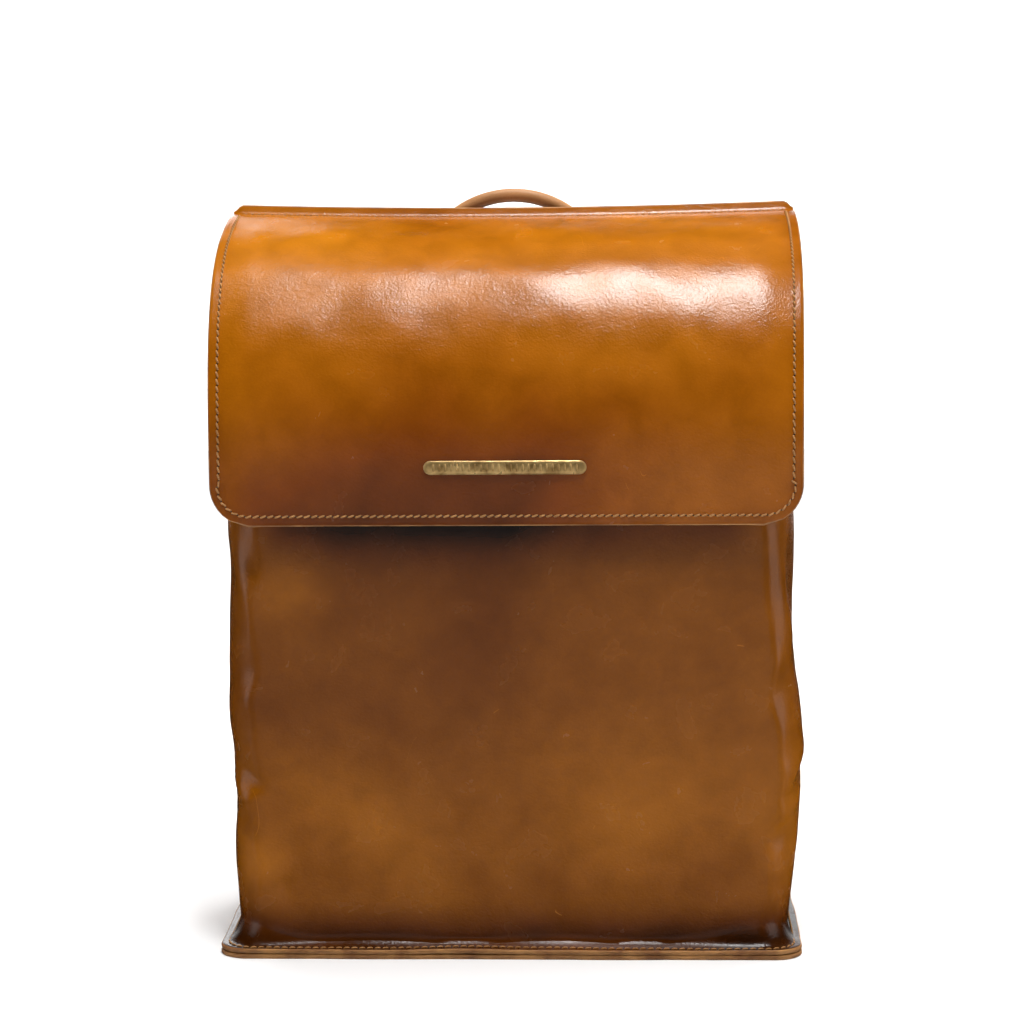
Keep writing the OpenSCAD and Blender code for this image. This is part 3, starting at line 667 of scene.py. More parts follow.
def on_flap_row(j, x):
    """The flap's point and normal at x in its row j, six numbers."""
    order = np.argsort(flap_points[:, j, 0])
    xs = flap_points[order, j, 0]
    columns_there = [values[order, j, k] for values in (flap_points, flap_n) for k in range(3)]
    return np.array([np.interp(x, xs, column) for column in columns_there])


def on_flap_front(x, z):
    """The flap's point and normal at (x, z), low on its front."""
    along = flap_total - (z - flap_low)
    j = np.clip(np.searchsorted(flap_run, along), 1, len(flap_run) - 1)
    w = (along - flap_run[j - 1]) / (flap_run[j] - flap_run[j - 1])
    return on_flap_row(j - 1, x) * (1 - w) + on_flap_row(j, x) * w


def flap_edge_line(inset, start_run):
    """A line that runs inset from the flap's edge: down one side, round the corners, up the other."""
    rows = np.flatnonzero((flap_run >= start_run) & (flap_total - flap_run >= flap_r))
    left = [on_flap_row(j, flap_points[:, j, 0].min() + inset) for j in rows]
    right = [on_flap_row(j, flap_points[:, j, 0].max() - inset) for j in rows]
    flat = flap_half - flap_r
    arc = [(flat + (flap_r - inset) * math.cos(a), flap_low + flap_r - (flap_r - inset) * math.sin(a))
           for a in np.linspace(0, math.pi / 2, 14)]
    bottom = [(-x, z) for x, z in arc] + [(x, flap_low + inset) for x in np.linspace(-flat, flat, 80)[1:-1]]
    line = np.array(left + [on_flap_front(x, z) for x, z in bottom + arc[::-1]] + right[::-1])
    return line[:, :3], unit(line[:, 3:])


def seam(name, line, normals, body="bag", pitch=4.0, length=3.5, radius=0.42, hole=0.5, slant=0.18):
    """A row of stitches and its holes, sized in millimetres, as two pieces on one body or on the fold."""
    line = np.asarray(line, float)
    normals = np.broadcast_to(np.asarray(normals, float), line.shape)
    stitches = stitch_line(line, normals, pitch * MM, length * MM, radius * MM, slant)
    thread = make_object(name + "_thread", stitches, THREAD, body)
    holes = make_object(name + "_holes", hole_line(line, normals, pitch * MM, hole * MM), HOLE, body)
    if body is None:
        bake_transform(thread)
        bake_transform(holes)


make_flap()
seam("flap_seam", *flap_edge_line(4.4 * MM, 12 * MM), None, 3.7, 3.6, 0.52, slant=0.34)
ridge_row = int(np.argmin(np.abs(flap_run - 5.6 * MM)))
seam("ridge_seam", flap_points[3:-3, ridge_row], flap_n[3:-3, ridge_row], None, 3.5, 2.4, 0.3, 0.62, 0.5)


# ---------------------------------------------------------------- the body
side_run = back_in - (front_y + corner_r)
arc_run = corner_r * math.pi / 2
front_run = body_x - corner_r
FLOOR_GAP = 2.6 * MM                        # from the base seam up to the wall's lowest row


def plan_point(s):
    """The body's plan: the point and outward normal at s along the wrap, 0 in the middle of the front."""
    side = np.sign(s) + (s == 0)
    d = np.abs(s)
    a = np.clip((d - front_run) / corner_r, 0, math.pi / 2)
    x = np.minimum(d, front_run) + corner_r * np.sin(a)
    y = front_y + corner_r * (1 - np.cos(a)) + np.maximum(d - front_run - arc_run, 0)
    return side * x, y, side * np.sin(a), -np.cos(a)


def curve_y(z, lower):
    """Depth of the lowered shoulder curve at the height z; far forward below the bend."""
    v = np.clip((z - BEND_Z) / (shoulder_b - lower), 0, 1)
    return shoulder_y - (SHOULDER_A - lower) * (1 - v ** SHOULDER_N) ** (1 / SHOULDER_N)


def curve_z(y, lower):
    """Height of the lowered shoulder curve at the depth y."""
    u = np.clip((shoulder_y - y) / (SHOULDER_A - lower), 0, 1)
    return BEND_Z + (shoulder_b - lower) * (1 - u ** SHOULDER_N) ** (1 / SHOULDER_N)


def mouth_z(s, inset):
    """Height of the mouth's edge at s along the wrap."""
    return curve_z(np.maximum(plan_point(s)[1], mouth_y), flap_drop + inset)


def crease(s, z, a, b, width, depth):
    """A soft fold between two points of the wrap, (s, z) in millimetres: a ridge beside a valley."""
    a, b = np.array(a) * MM, np.array(b) * MM
    d = b - a
    length = np.hypot(*d)
    w = width * MM
    t = np.clip(((s - a[0]) * d[0] + (z - a[1]) * d[1]) / length ** 2, 0, 1)
    off = ((s - a[0]) * -d[1] + (z - a[1]) * d[0]) / length
    end = np.hypot(s - a[0] - t * d[0], z - a[1] - t * d[1])
    along = np.exp(-(np.maximum(end - np.abs(off), 0) / w) ** 2) * np.sin(math.pi * (0.08 + 0.84 * t))
    return depth * MM * along * (np.exp(-(off / w) ** 2) - 0.8 * np.exp(-((off - 1.5 * w) / (1.3 * w)) ** 2))


CREASES = [  # (from, to, width, depth) on the unrolled wrap, as (s, z)
    ((-150, 96), (-112, 66), 7, 2.6), ((-118, 72), (-128, 20), 6, 2.2), ((-136, 130), (-100, 150), 10, 1.5),
    ((-142, 215), (-122, 170), 9, 1.8), ((-132, 34), (-100, 14), 7, 2.0), ((-110, 205), (-84, 176), 14, 1.3),
    ((150, 80), (104, 58), 7, 2.4), ((140, 160), (112, 128), 9, 1.8), ((138, 215), (146, 150), 9, 1.7),
    ((134, 30), (98, 18), 7, 1.9), ((158, 110), (132, 86), 8, 1.8), ((190, 120), (165, 60), 10, 2.0),
    ((-190, 130), (-166, 60), 10, 2.2), ((200, 250), (172, 180), 12, 1.8),
    ((-205, 240), (-176, 200), 12, 1.8), ((-212, 60), (-178, 22), 9, 1.8), ((212, 56), (180, 24), 9, 1.8),
]


def body_surface(s, z, inset=0.0):
    """Points of the stuffed body at s along the wrap and height z."""
    x, y, nx, ny = plan_point(s)
    d = np.abs(s)
    right = s > 0
    front = 1 - smooth(front_run - 8 * MM, front_run + arc_run, d)
    side_mid = hump(d, front_run + arc_run + 0.42 * side_run, 0.42 * side_run)
    up = np.clip((z - leather) / (BEND_Z - leather), 0, 1)
    belly = np.sin(math.pi * np.clip(up * 0.92 + 0.06, 0, 1)) ** 0.7
    swell = 4.6 * MM * front * (1 - 0.55 * np.clip(d / front_run, 0, 1) ** 2) * belly
    corner_up = np.sin(math.pi * np.clip(z / 0.34, 0, 1)) ** 0.6
    swell += 2.4 * MM * hump(d, front_run + arc_run * 0.8, 60 * MM) * corner_up
    swell += 3.6 * MM * side_mid * np.sin(math.pi * np.clip(z / 0.36, 0, 1)) ** 0.8
    low_bulge = hump(z, 95 * MM, 75 * MM) * hump(d, front_run + arc_run * 0.7, 45 * MM)
    low_dent = hump(z, 88 * MM, 26 * MM) * hump(d, front_run + arc_run, 34 * MM)
    swell += (np.where(right, 5.5, 1.6) * low_bulge + np.where(right, 0.0, -2.6) * low_dent) * MM
    for a, b, width, depth in CREASES:
        swell += 1.35 * crease(s, z, a, b, 0.8 * width, depth)
    points = np.stack([x, y, z], axis=-1)
    swell += waves(points, 70 * MM, 5) * 1.8 * MM + waves(points, 26 * MM, 6) * 0.45 * MM
    near_top = smooth(0, 30 * MM, mouth_z(s, 0) - z)
    swell *= smooth(0, 9 * MM, z - leather) * (0.25 + 0.75 * near_top)
    snap_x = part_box("snap_sockets")[1].x - 9 * MM
    swell *= 1 - hump(d, snap_x, 16 * MM) * hump(z, 0.24, 16 * MM)
    tuck = 0.4 * MM * (1 - smooth(0.0, 26 * MM, z - leather))
    move = swell - tuck - inset
    return np.stack([x + nx * move, np.maximum(y + ny * move, curve_y(z, flap_drop + inset)), z], axis=-1)


def surface_grid(s, z, inset=0.0):
    """The body's surface over a grid of heights z: (across, along, 3)."""
    return body_surface(np.repeat(s, z.shape[1]), z.ravel(), inset).reshape(*z.shape, 3)


def columns():
    """Places across the wrap, closer together round the corners."""
    edges = [-front_run - arc_run - side_run, -front_run - arc_run, -front_run]
    edges += [-e for e in edges[::-1]]
    return np.concatenate([np.linspace(a, b, count)[min(k, 1):] for k, (a, b, count) in
                           enumerate(zip(edges, edges[1:], (30, 16, 97, 16, 30)))])


def flare(s):
    """How high above the base seam the wall starts to spread: most at the front corners."""
    corner = hump(np.abs(s), front_run + arc_run / 2, 26 * MM)
    return (1.5 + 10 * corner + 1.2 * np.sin(s * 70)) * MM


def wavy_edge(outline):
    """How far the base seam's edge waves in or out at each (x, y)."""
    return waves(np.column_stack([outline, np.zeros(len(outline))]), 40 * MM, 11) * 0.9 * MM


def flange_edge(s):
    """The base seam's outline facing the wrap at s, as (x, y), and its waviness there."""
    d = np.abs(s)
    xf, yf = flange - flange_r, -flange_y + flange_r
    a = np.clip((d - front_run) / corner_r, 0, math.pi / 2)
    fx = np.where(a <= 0, d / front_run * xf, xf + flange_r * np.sin(a))
    fy = np.where(a <= 0, -flange_y, yf - flange_r * np.cos(a))
    back = d > front_run + arc_run
    fy = np.where(back, yf + (d - front_run - arc_run) / side_run * (back_in - yf), fy)
    fx = np.where(back, flange, fx)
    edge = np.stack([(np.sign(s) + (s == 0)) * fx, fy], axis=-1)
    return edge, wavy_edge(edge)


def wrap_grid(inset=0.0, low_z=None, rows=90):
    """The wrap from its mouth's edge down to low_z: (across, along, 3)."""
    s = columns()
    k = np.linspace(0, 1, rows)
    k = k + 0.08 * np.sin(math.pi * 2 * k) / math.pi
    low = leather + FLOOR_GAP + flare(s) if low_z is None else np.full_like(s, low_z)
    z = mouth_z(s, inset)[:, None] * (1 - k)[None, :] + low[:, None] * k[None, :]
    return s, surface_grid(s, z, inset)


def flange_rise(edge):
    return waves(np.column_stack([edge, np.zeros(len(edge))]), 55 * MM, 12) * 0.5 * MM


def add_flange(s, p):
    """Continues the wrap's grid round a small fillet and out to the base seam's edge."""
    edge, ripple = flange_edge(s)
    foot = np.maximum(FLOOR_GAP - leather + flare(s), 0.8 * MM)
    outward = edge / np.hypot(*edge.T)[:, None]
    rows = []
    for t in (0.04, 0.09, 0.16, 0.25, 0.36, 0.5, 0.65, 0.85, 1.0):
        xy = p[:, -1, :2] * (1 - t) + edge * t
        if t > 0.4:
            xy = xy + outward * (ripple * t)[:, None]
        rows.append(np.column_stack([xy, 2 * leather + foot * (1 - t) ** 3.4 + flange_rise(edge) * t]))
    return np.concatenate([p, np.stack(rows, axis=1)], axis=1)


def body_tone(p):
    """Painted reflections as bright patches on the left and a painted floor reflection as a pale band low
    down; painted shade by the base seam and painted shadow under the flap; a little darker above 0.1 m.
    """
    x, z = p[:, 0], p[:, 2]
    # painted reflections on the rounded left side of the walls
    painted_reflection = 0.3 * hump(x, -112 * MM, 20 * MM) * hump(z, 196 * MM, 22 * MM)
    painted_reflection += 0.3 * hump(x, -128 * MM, 14 * MM) * hump(z, 50 * MM, 14 * MM)
    # painted shade by the base seam, where the wall curves under
    low = -0.42 * (1 - smooth(8 * MM, 30 * MM, z))
    # painted shadow under the flap
    shade = -0.28 * hump(z, flap_low - 1 * MM, 15 * MM) * (1 - smooth(108 * MM, 132 * MM, np.abs(x)))
    # a little darker above 0.1 m, and a painted floor reflection as the pale band round 72 mm
    return painted_reflection + low + shade - 0.07 * smooth(0.1, 0.2, z) + 0.17 * hump(z, 72 * MM, 40 * MM)


def make_body():
    s, p = wrap_grid()
    p, n = turned(add_flange(s, p), (len(s) // 2, 40), FRONT)
    body = sheet("body_leather", p, leather * 0.94, SHADED_BODY_TAN, "bag", EDGE, edge=0.25, normals=n)
    set_tone(body, body_tone)
    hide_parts("body_wrap")
    edge, ripple = flange_edge(s)
    line = edge * (1 + (ripple - 3.6 * MM) / np.hypot(*edge.T))[:, None]
    line = np.column_stack([line, 2 * leather + 0.1 * MM + flange_rise(edge)])
    seam("base_seam", resample(line, 2 * MM), UP)


def make_base():
    """The lower layer of the turned-out seam, with the same wavy edge."""
    xr, yr = flange - flange_r, flange_y - flange_r
    quarter = np.linspace(0, math.pi / 2, 8)
    right = [(xr + flange_r * math.cos(t), yr + flange_r * math.sin(t)) for t in quarter]
    back = [(x, flange_y) for x in np.linspace(xr, -xr, 40)[1:-1]]
    outline = np.concatenate([flange_edge(columns())[0], [(flange, (back_in + yr) / 2)], right, back,
                              [(-x, y) for x, y in right[::-1]], [(-flange, (back_in + yr) / 2)]])
    outline = outline * (1 + (wavy_edge(outline) / np.hypot(*outline.T))[:, None])
    rings = []
    for t in np.arange(6) * math.pi / 5:
        grown = outline * (1 + 0.25 * leather * math.sin(t) / flange)
        z = leather * 0.96 * (1 + math.cos(t)) / 2
        rings.append(np.column_stack([grown, np.full(len(outline), z)]))
    base = make_object("base_leather", loft(rings, flip=True), EDGE, "bag")
    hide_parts("base_panel")


def make_lining():
    """Fabric on the walls, the back and the floor of the bag, and the board under the floor."""
    inset = leather + 0.5 * MM
    cloth = 0.6 * MM
    lo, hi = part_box("lining")
    s, p = wrap_grid(inset, low_z=lo.z, rows=50)
    p, n = turned(p, (len(s) // 2, 20), FRONT)
    wall = sheet("lining_fabric", p, cloth, TWILL, "bag", normals=n)
    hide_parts("lining")
    x0 = p[:, -1, 0].min() + 0.5 * MM
    half = body_x - inset - 1.5 * MM
    grid = np.array([[(x / -x0 * half, hi.y - 0.9 * MM + 0.4 * MM * math.sin(9 * x / x0), z)
                      for z in np.linspace(lo.z, hi.z, 60)] for x in np.linspace(x0, -x0, 40)])
    back = sheet("lining_back_fabric", grid[::-1], cloth, TWILL, "bag", normals=REAR)
    lo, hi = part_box("base_board")
    grid = np.array([[(x, y, hi.z + 0.3 * MM + 0.3 * MM * math.sin(x * 90) * math.sin(y * 70))
                      for y in np.linspace(front_y + 9 * MM, back_in - 3 * MM, 24)]
                     for x in np.linspace(-body_x + 9 * MM, body_x - 9 * MM, 50)])
    ground = sheet("lining_floor_fabric", grid, cloth, TWILL, "bag")
    x0, x1, y0, y1 = lo.x + 8 * MM, hi.x - 8 * MM, lo.y + 8 * MM, hi.y - 3 * MM
    verts = [(x, y, z) for z in (lo.z, hi.z - 0.6 * MM) for x, y in ((x0, y0), (x1, y0), (x1, y1), (x0, y1))]
    faces = [(3, 2, 1, 0), (4, 5, 6, 7), (0, 1, 5, 4), (1, 2, 6, 5), (2, 3, 7, 6), (3, 0, 4, 7)]
    board = make_object("base_stiffener", (verts, faces), BOARD, "bag")
    bevel(board, 0.5 * MM, 3)
    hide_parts("base_board")


def make_facing():
    """The leather band round the inside of the mouth."""
    inset = leather + 1.6 * MM
    s = columns()
    z = (mouth_z(s, inset) - 0.2 * MM)[:, None] - (np.linspace(0, 1, 12) * 27 * MM)[None, :]
    p, n = turned(surface_grid(s, z, inset), (len(s) // 2, 6), FRONT)
    facing = sheet("mouth_facing_leather", p, 1.1 * MM, DARK, "bag", EDGE, normals=n)
    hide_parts("mouth_facing")
    for name, row in (("mouth_seam_low", 10), ("mouth_seam_top", 1)):
        seam(name, p[:, row] - n[:, row] * 1.15 * MM, -n[:, row], "bag", 3.4, 2.8, 0.32, 0.38)


def make_back():
    """The back panel: a quilted face, a standing top edge and a lower edge turned out."""
    xs = np.linspace(-body_x, body_x, 120)
    zs = np.concatenate([top_z - np.array([0, 1.5, 4]) * MM,
                         np.linspace(top_z - 7 * MM, 2 * leather + 3 * MM, 110)])
    xx, zz = np.meshgrid(xs, zs, indexing="ij")
    u = xx / body_x
    xx = xx + (flap_half - body_x) * smooth(top_z - 34 * MM, top_z - 3 * MM, zz) * u
    inside = (1 - np.abs(u) ** 6) * smooth(8 * MM, 30 * MM, zz)
    inside *= 1 - smooth(top_z - 40 * MM, top_z - 12 * MM, zz)
    quiet = 1 - hump(xx, 0, 78 * MM) * hump(zz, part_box("back_yoke")[0].z + 28 * MM, 40 * MM)
    quiet *= 1 - hump(np.abs(xx), 118 * MM, 34 * MM) * hump(zz, 34 * MM, 34 * MM)
    pts = np.stack([xx, np.full_like(xx, back_y), zz], axis=-1)
    puff = 0.9 * MM + waves(pts, 80 * MM, 21) * 1.0 * MM + waves(pts, 24 * MM, 22) * 0.25 * MM
    sag = 2.6 * MM * (1 - u ** 2) * smooth(top_z - 60 * MM, top_z, zz)
    sag += 3.4 * MM * smooth(0.965, 1.0, np.abs(u)) ** 1.5 * smooth(top_z - 5 * MM, top_z - 1 * MM, zz)
    p = np.stack([xx, back_y + puff * inside * quiet, zz - sag], axis=-1)
    edge_x = np.clip(xs / body_x, -1, 1) * flange
    corner = np.maximum(np.abs(edge_x) - (flange - flange_r), 0)
    edge_y = flange_y - (flange_r - np.sqrt(np.maximum(flange_r ** 2 - corner ** 2, 0)))
    edge = np.stack([edge_x, edge_y], axis=-1)
    rows = []
    for t, drop in ((0.08, 1.2), (0.2, 0.4), (0.4, 0.05), (0.7, 0.0), (1.0, 0.0)):
        xy = p[:, -1, :2] * (1 - t) + edge * t
        rows.append(np.column_stack([xy, np.full(len(xs), 2 * leather + drop * MM)]))
    p, n = turned(np.concatenate([p, np.stack(rows, axis=1)], axis=1), (60, 60), REAR)
    back = sheet("back_leather", p, leather * 0.96, BACK_TAN, "bag", EDGE, edge=0.2, normals=n)
    set_tone(back, lambda q: (-0.06 + 0.05 * hump(q[:, 2], 0.2, 0.1)
                              - 0.1 * smooth(0.92, 1, np.abs(q[:, 0]) / body_x)))
    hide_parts("back_panel")
    for column, name in ((3, "left"), (116, "right")):
        seam("back_seam_" + name, p[column, 3:113], n[column, 3:113])
    seam("top_seam_back", p[2:-2, 2], n[2:-2, 2])
    seam("base_seam_back", p[3:-3, -2], UP)


make_body()
make_base()
make_lining()
make_facing()
make_back()


# ---------------------------------------------------------------- flat leather pieces
def rounded(points, radius, steps=6):
    """An outline with its corners rounded."""
    points = [np.array(p, float) for p in points]
    out = []
    for k, p in enumerate(points):
        a, b = unit(points[k - 1] - p), unit(points[(k + 1) % len(points)] - p)
        half = math.acos(np.clip(np.dot(a, b), -1, 1)) / 2
        reach = radius / math.tan(half)
        centre = p + unit(a + b) * radius / math.sin(half)
        u, v = p + a * reach - centre, p + b * reach - centre
        out += [centre + unit(u * (1 - t) + v * t) * radius for t in np.linspace(0, 1, steps)]
    return np.array(out)


def dense(outline, step=2.5 * MM):
    return resample(np.vstack([outline, outline[:1]]), step)[:-1]


def box_outline(x0, x1, z0, z1, r, steps=6):
    return rounded([(x0, z0), (x1, z0), (x1, z1), (x0, z1)], r, steps)


def upright(outline, y):
    """Points (x, z) stood up at the depth y."""
    return np.column_stack([outline[:, 0], np.full(len(outline), y), outline[:, 1]])


PLATE_EDGE = 0.35                           # roundness of a plate's edge, as a share of its thickness


def plate(name, outline, y0, y1, material):
    """A leather cut-out facing the back: the outline is (x, z), with rounded edges between y0 and y1."""
    inward = unit(outline.mean(axis=0) - outline)
    t = y1 - y0
    nxt = np.roll(outline, -1, axis=0)
    if np.sum(outline[:, 0] * nxt[:, 1] - nxt[:, 0] * outline[:, 1]) < 0:
        outline, inward = outline[::-1], inward[::-1]
    rings = []
    for a in [math.pi * k / 6 for k in range(7)]:
        ring = outline + inward * (PLATE_EDGE * t * (1 - math.sin(a)))
        rings.append(upright(ring, y0 + t * (1 - math.cos(a)) / 2))
    verts, faces = loft(rings, flip=True)
    obj = make_object(name, (verts, faces[-2:] + faces[:-2]), [material, EDGE], "bag")
    for f in obj.data.polygons[2:]:
        f.material_index = 1
    obj.data.polygons[0].use_smooth = obj.data.polygons[1].use_smooth = False
    return obj


def ring_seam(name, outline, inset, y, *sizes):
    """Stitches round a plate on its face at y."""
    q = outline + unit(outline.mean(axis=0) - outline) * inset
    seam(name, upright(np.vstack([q, q[:1]]), y), REAR, "bag", *sizes)


def make_yoke():
    lo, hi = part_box("back_yoke")
    outline = dense(box_outline(lo.x, hi.x, lo.z, hi.z, 10 * MM))
    yoke = plate("back_yoke_leather", outline, lo.y, hi.y, BACK_TAN)
    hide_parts("back_yoke")
    ring_seam("yoke_seam", outline, 3.5 * MM, hi.y)
    lo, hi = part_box("anchor_tabs")
    for side, tag in SIDES:
        corners = [(side * hi.x, lo.z), (side * hi.x, hi.z), (side * (hi.x - 56 * MM), lo.z)]
        outline = dense(rounded(corners, 5 * MM))
        tab = plate("anchor_tab_" + tag, outline, lo.y, hi.y, BACK_TAN)
        ring_seam("anchor_seam_" + tag, outline, 3.6 * MM, hi.y)
        if side < 0:
            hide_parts("anchor_tabs")


def make_handle():
    """The rolled handle with its knuckles, the line of its cut edge, its seam, and the two tabs."""
    hx, hy, hz = 50 * MM, *joints["handle_tilt"]["pos_m"][1:]
    arc_r = 53 * MM
    mid_z = hz - math.sqrt(arc_r ** 2 - hx ** 2)
    a0 = math.asin((hz - mid_z) / arc_r)
    a = np.linspace(math.pi - a0, a0, 60)
    path = np.stack([arc_r * np.cos(a), np.full_like(a, hy), mid_z + arc_r * np.sin(a)], axis=1)
    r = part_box("handle_cover")[1].z - mid_z - arc_r
    fat = r * (0.86 + 0.14 * np.sin(np.linspace(0, math.pi, 60)) ** 0.4)
    parts = [tube_mesh(path, fat, 18, 0.97, REAR)]
    half_roll = [2.2, 3.1, 3.6, 3.75, 3.8, 3.72]
    roll_r = np.array(half_roll + [3.7] + half_roll[::-1]) * MM
    for side, tag in SIDES:
        roll = np.stack([side * hx + np.linspace(-5, 5, 13) * MM, np.full(13, hy), np.full(13, hz)], axis=1)
        parts.append(tube_mesh(roll, roll_r, 18))
    cover = make_object("handle_leather", joined(parts), SADDLE, "handle")
    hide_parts("handle_cover")
    inner = path[4:-4]
    out = unit(inner - np.array([0, hy, mid_z]))
    cut = tube_mesh(inner - out * (r * 0.93), 0.7 * MM, 8, 1.0, REAR)
    welt = make_object("handle_edge_line", cut, EDGE, "handle")
    side_line = inner + np.array(REAR) * (r * 0.93) - out * r * 0.3
    seam("handle_seam", side_line, REAR, "handle", 3.6, 3, 0.32, 0.36)
    low_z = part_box("handle_tabs")[0].z
    face = yoke_face + 2.4 * MM
    for side, tag in SIDES:
        corners = [(-7 * MM, low_z), (7 * MM, low_z), (7 * MM, hz - 5 * MM), (5.5 * MM, hz + 3 * MM),
                   (-5.5 * MM, hz + 3 * MM), (-7 * MM, hz - 5 * MM)]
        outline = dense(rounded([(side * hx + x, z) for x, z in corners], 2 * MM), 1.5 * MM)
        tab = plate("handle_tab_" + tag, outline, yoke_face, face, BACK_TAN)
        ring_seam("handle_tab_seam_" + tag, outline, 2.2 * MM, face, 3, 2.5, 0.3, 0.36)
        if side < 0:
            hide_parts("handle_tabs")


# ---------------------------------------------------------------- shoulder straps
STRAP_TOP = (24 * MM, 62.4 * MM, 330 * MM)
STRAP_LOW = (113 * MM, 43.5 * MM)
strap_len = math.hypot(STRAP_LOW[0] - STRAP_TOP[0], STRAP_TOP[2] - STRAP_LOW[1])
splay = math.asin((STRAP_LOW[0] - STRAP_TOP[0]) / strap_len)
LOW_RUN = 105 * MM
BOW = 24 * MM
peak = strap_len - LOW_RUN
upper_r = (peak ** 2 + BOW ** 2) / (2 * BOW)
lower_r = (LOW_RUN ** 2 + BOW ** 2) / (2 * BOW)
PAD_FROM, PAD_TO = 16 * MM, 155 * MM
TONGUE_TO = 225 * MM
LOWER_FROM, LOWER_TO = 160 * MM, 322 * MM


def strap_frame(s):
    """Along a strap: the inner face's depth, and the outward direction's y and z."""
    s = np.asarray(s, float)
    a = np.where(s < peak, np.arcsin(np.clip((peak - s) / upper_r, -1, 1)),
                 -np.arcsin(np.clip((s - peak) / lower_r, -1, 1)))
    r = np.where(s < peak, upper_r, lower_r)
    y = STRAP_TOP[1] + BOW - r + r * np.cos(a)
    flat = (s < 0) | (s > strap_len)
    return np.where(flat, STRAP_TOP[1], y), np.where(flat, 1.0, np.cos(a)), np.where(flat, 0.0, np.sin(a))


def splayed(side, w, y, z):
    """The bag's coordinates of a point w across and z up in the strap's own plane."""
    c, d = math.cos(splay), math.sin(splay) * side
    x, up = side * STRAP_TOP[0] + w * c - z * d, STRAP_TOP[2] + z * c + w * d
    return np.stack(np.broadcast_arrays(x, y, up), axis=-1)


def on_strap(side, s, t, w):
    """The point at s along the strap, t above its inner face and w across it."""
    y0, ny, nz = strap_frame(s)
    return splayed(side, w, y0 + t * ny, -np.asarray(s) + t * nz)


def on_keeper(side, s0, s, t, w):
    """A point in the keeper's own straight frame at s0."""
    y0, ny, nz = strap_frame(s0)
    return splayed(side, w, y0 + t * ny + (s - s0) * nz, -s0 + t * nz - (s - s0) * ny)


def strap_normals(side, s):
    ny, nz = strap_frame(s)[1:]
    return np.stack([-nz * math.sin(splay) * side, ny, nz * math.cos(splay)], axis=-1)


def strap_sweep(name, side, s, half, low, high, material, power=9):
    """A closed strap: at each s, a section half wide between low and high."""
    a = np.arange(32) * 2 * math.pi / 32
    ca, sa = np.cos(a), np.sin(a)
    u = np.sign(ca) * np.abs(ca) ** (2 / power)
    v = np.sign(sa) * np.abs(sa) ** (2 / power)
    low, high = (np.broadcast_to(value, s.shape)[:, None] for value in (low, high))
    height = (low + high) / 2 + (high - low) / 2 * v
    p = on_strap(side, np.repeat(s[:, None], 32, axis=1), height, half[:, None] * u)
    verts, faces = loft(p)
    turn = np.array([p[1, 0] - p[0, 0], p[0, 1] - p[0, 0], p[0, 0] - p[0].mean(axis=0)])
    if np.linalg.det(turn) >= 0:
        faces = [f[::-1] for f in faces]
    return make_object(name, (verts, faces), material, "bag")


def strap_seams(name, side, tag, s, t, w, radius=0.34):
    """A seam along each edge of a strap, w from its middle."""
    for sign, suffix in ((-1, "a"), (1, "b")):
        line = on_strap(side, s, t, sign * w)
        seam("%s_%s_%s" % (name, tag, suffix), line, strap_normals(side, s), "bag", 3.8, 3.2, radius)


def pad_half(s):
    """Half the pad's width, round at both ends."""
    end = np.clip(np.minimum(s - PAD_FROM, PAD_TO - s) / (9 * MM), 0, 1)
    return 20 * MM - 9 * MM * (1 - np.sqrt(np.clip(1 - (1 - end) ** 2, 0, 1)))


def pad_height(s, w):
    """Outer face of the pad: a crowned cushion inside its flat sewn border."""
    along = smooth(PAD_FROM + 4 * MM, PAD_FROM + 13 * MM, s)
    along *= 1 - smooth(PAD_TO - 13 * MM, PAD_TO - 4 * MM, s)
    across = np.clip(1 - (np.abs(w) / (16.2 * MM)) ** 3.2, 0, 1) ** 0.6
    return 2.9 * MM + 5.3 * MM * along * across


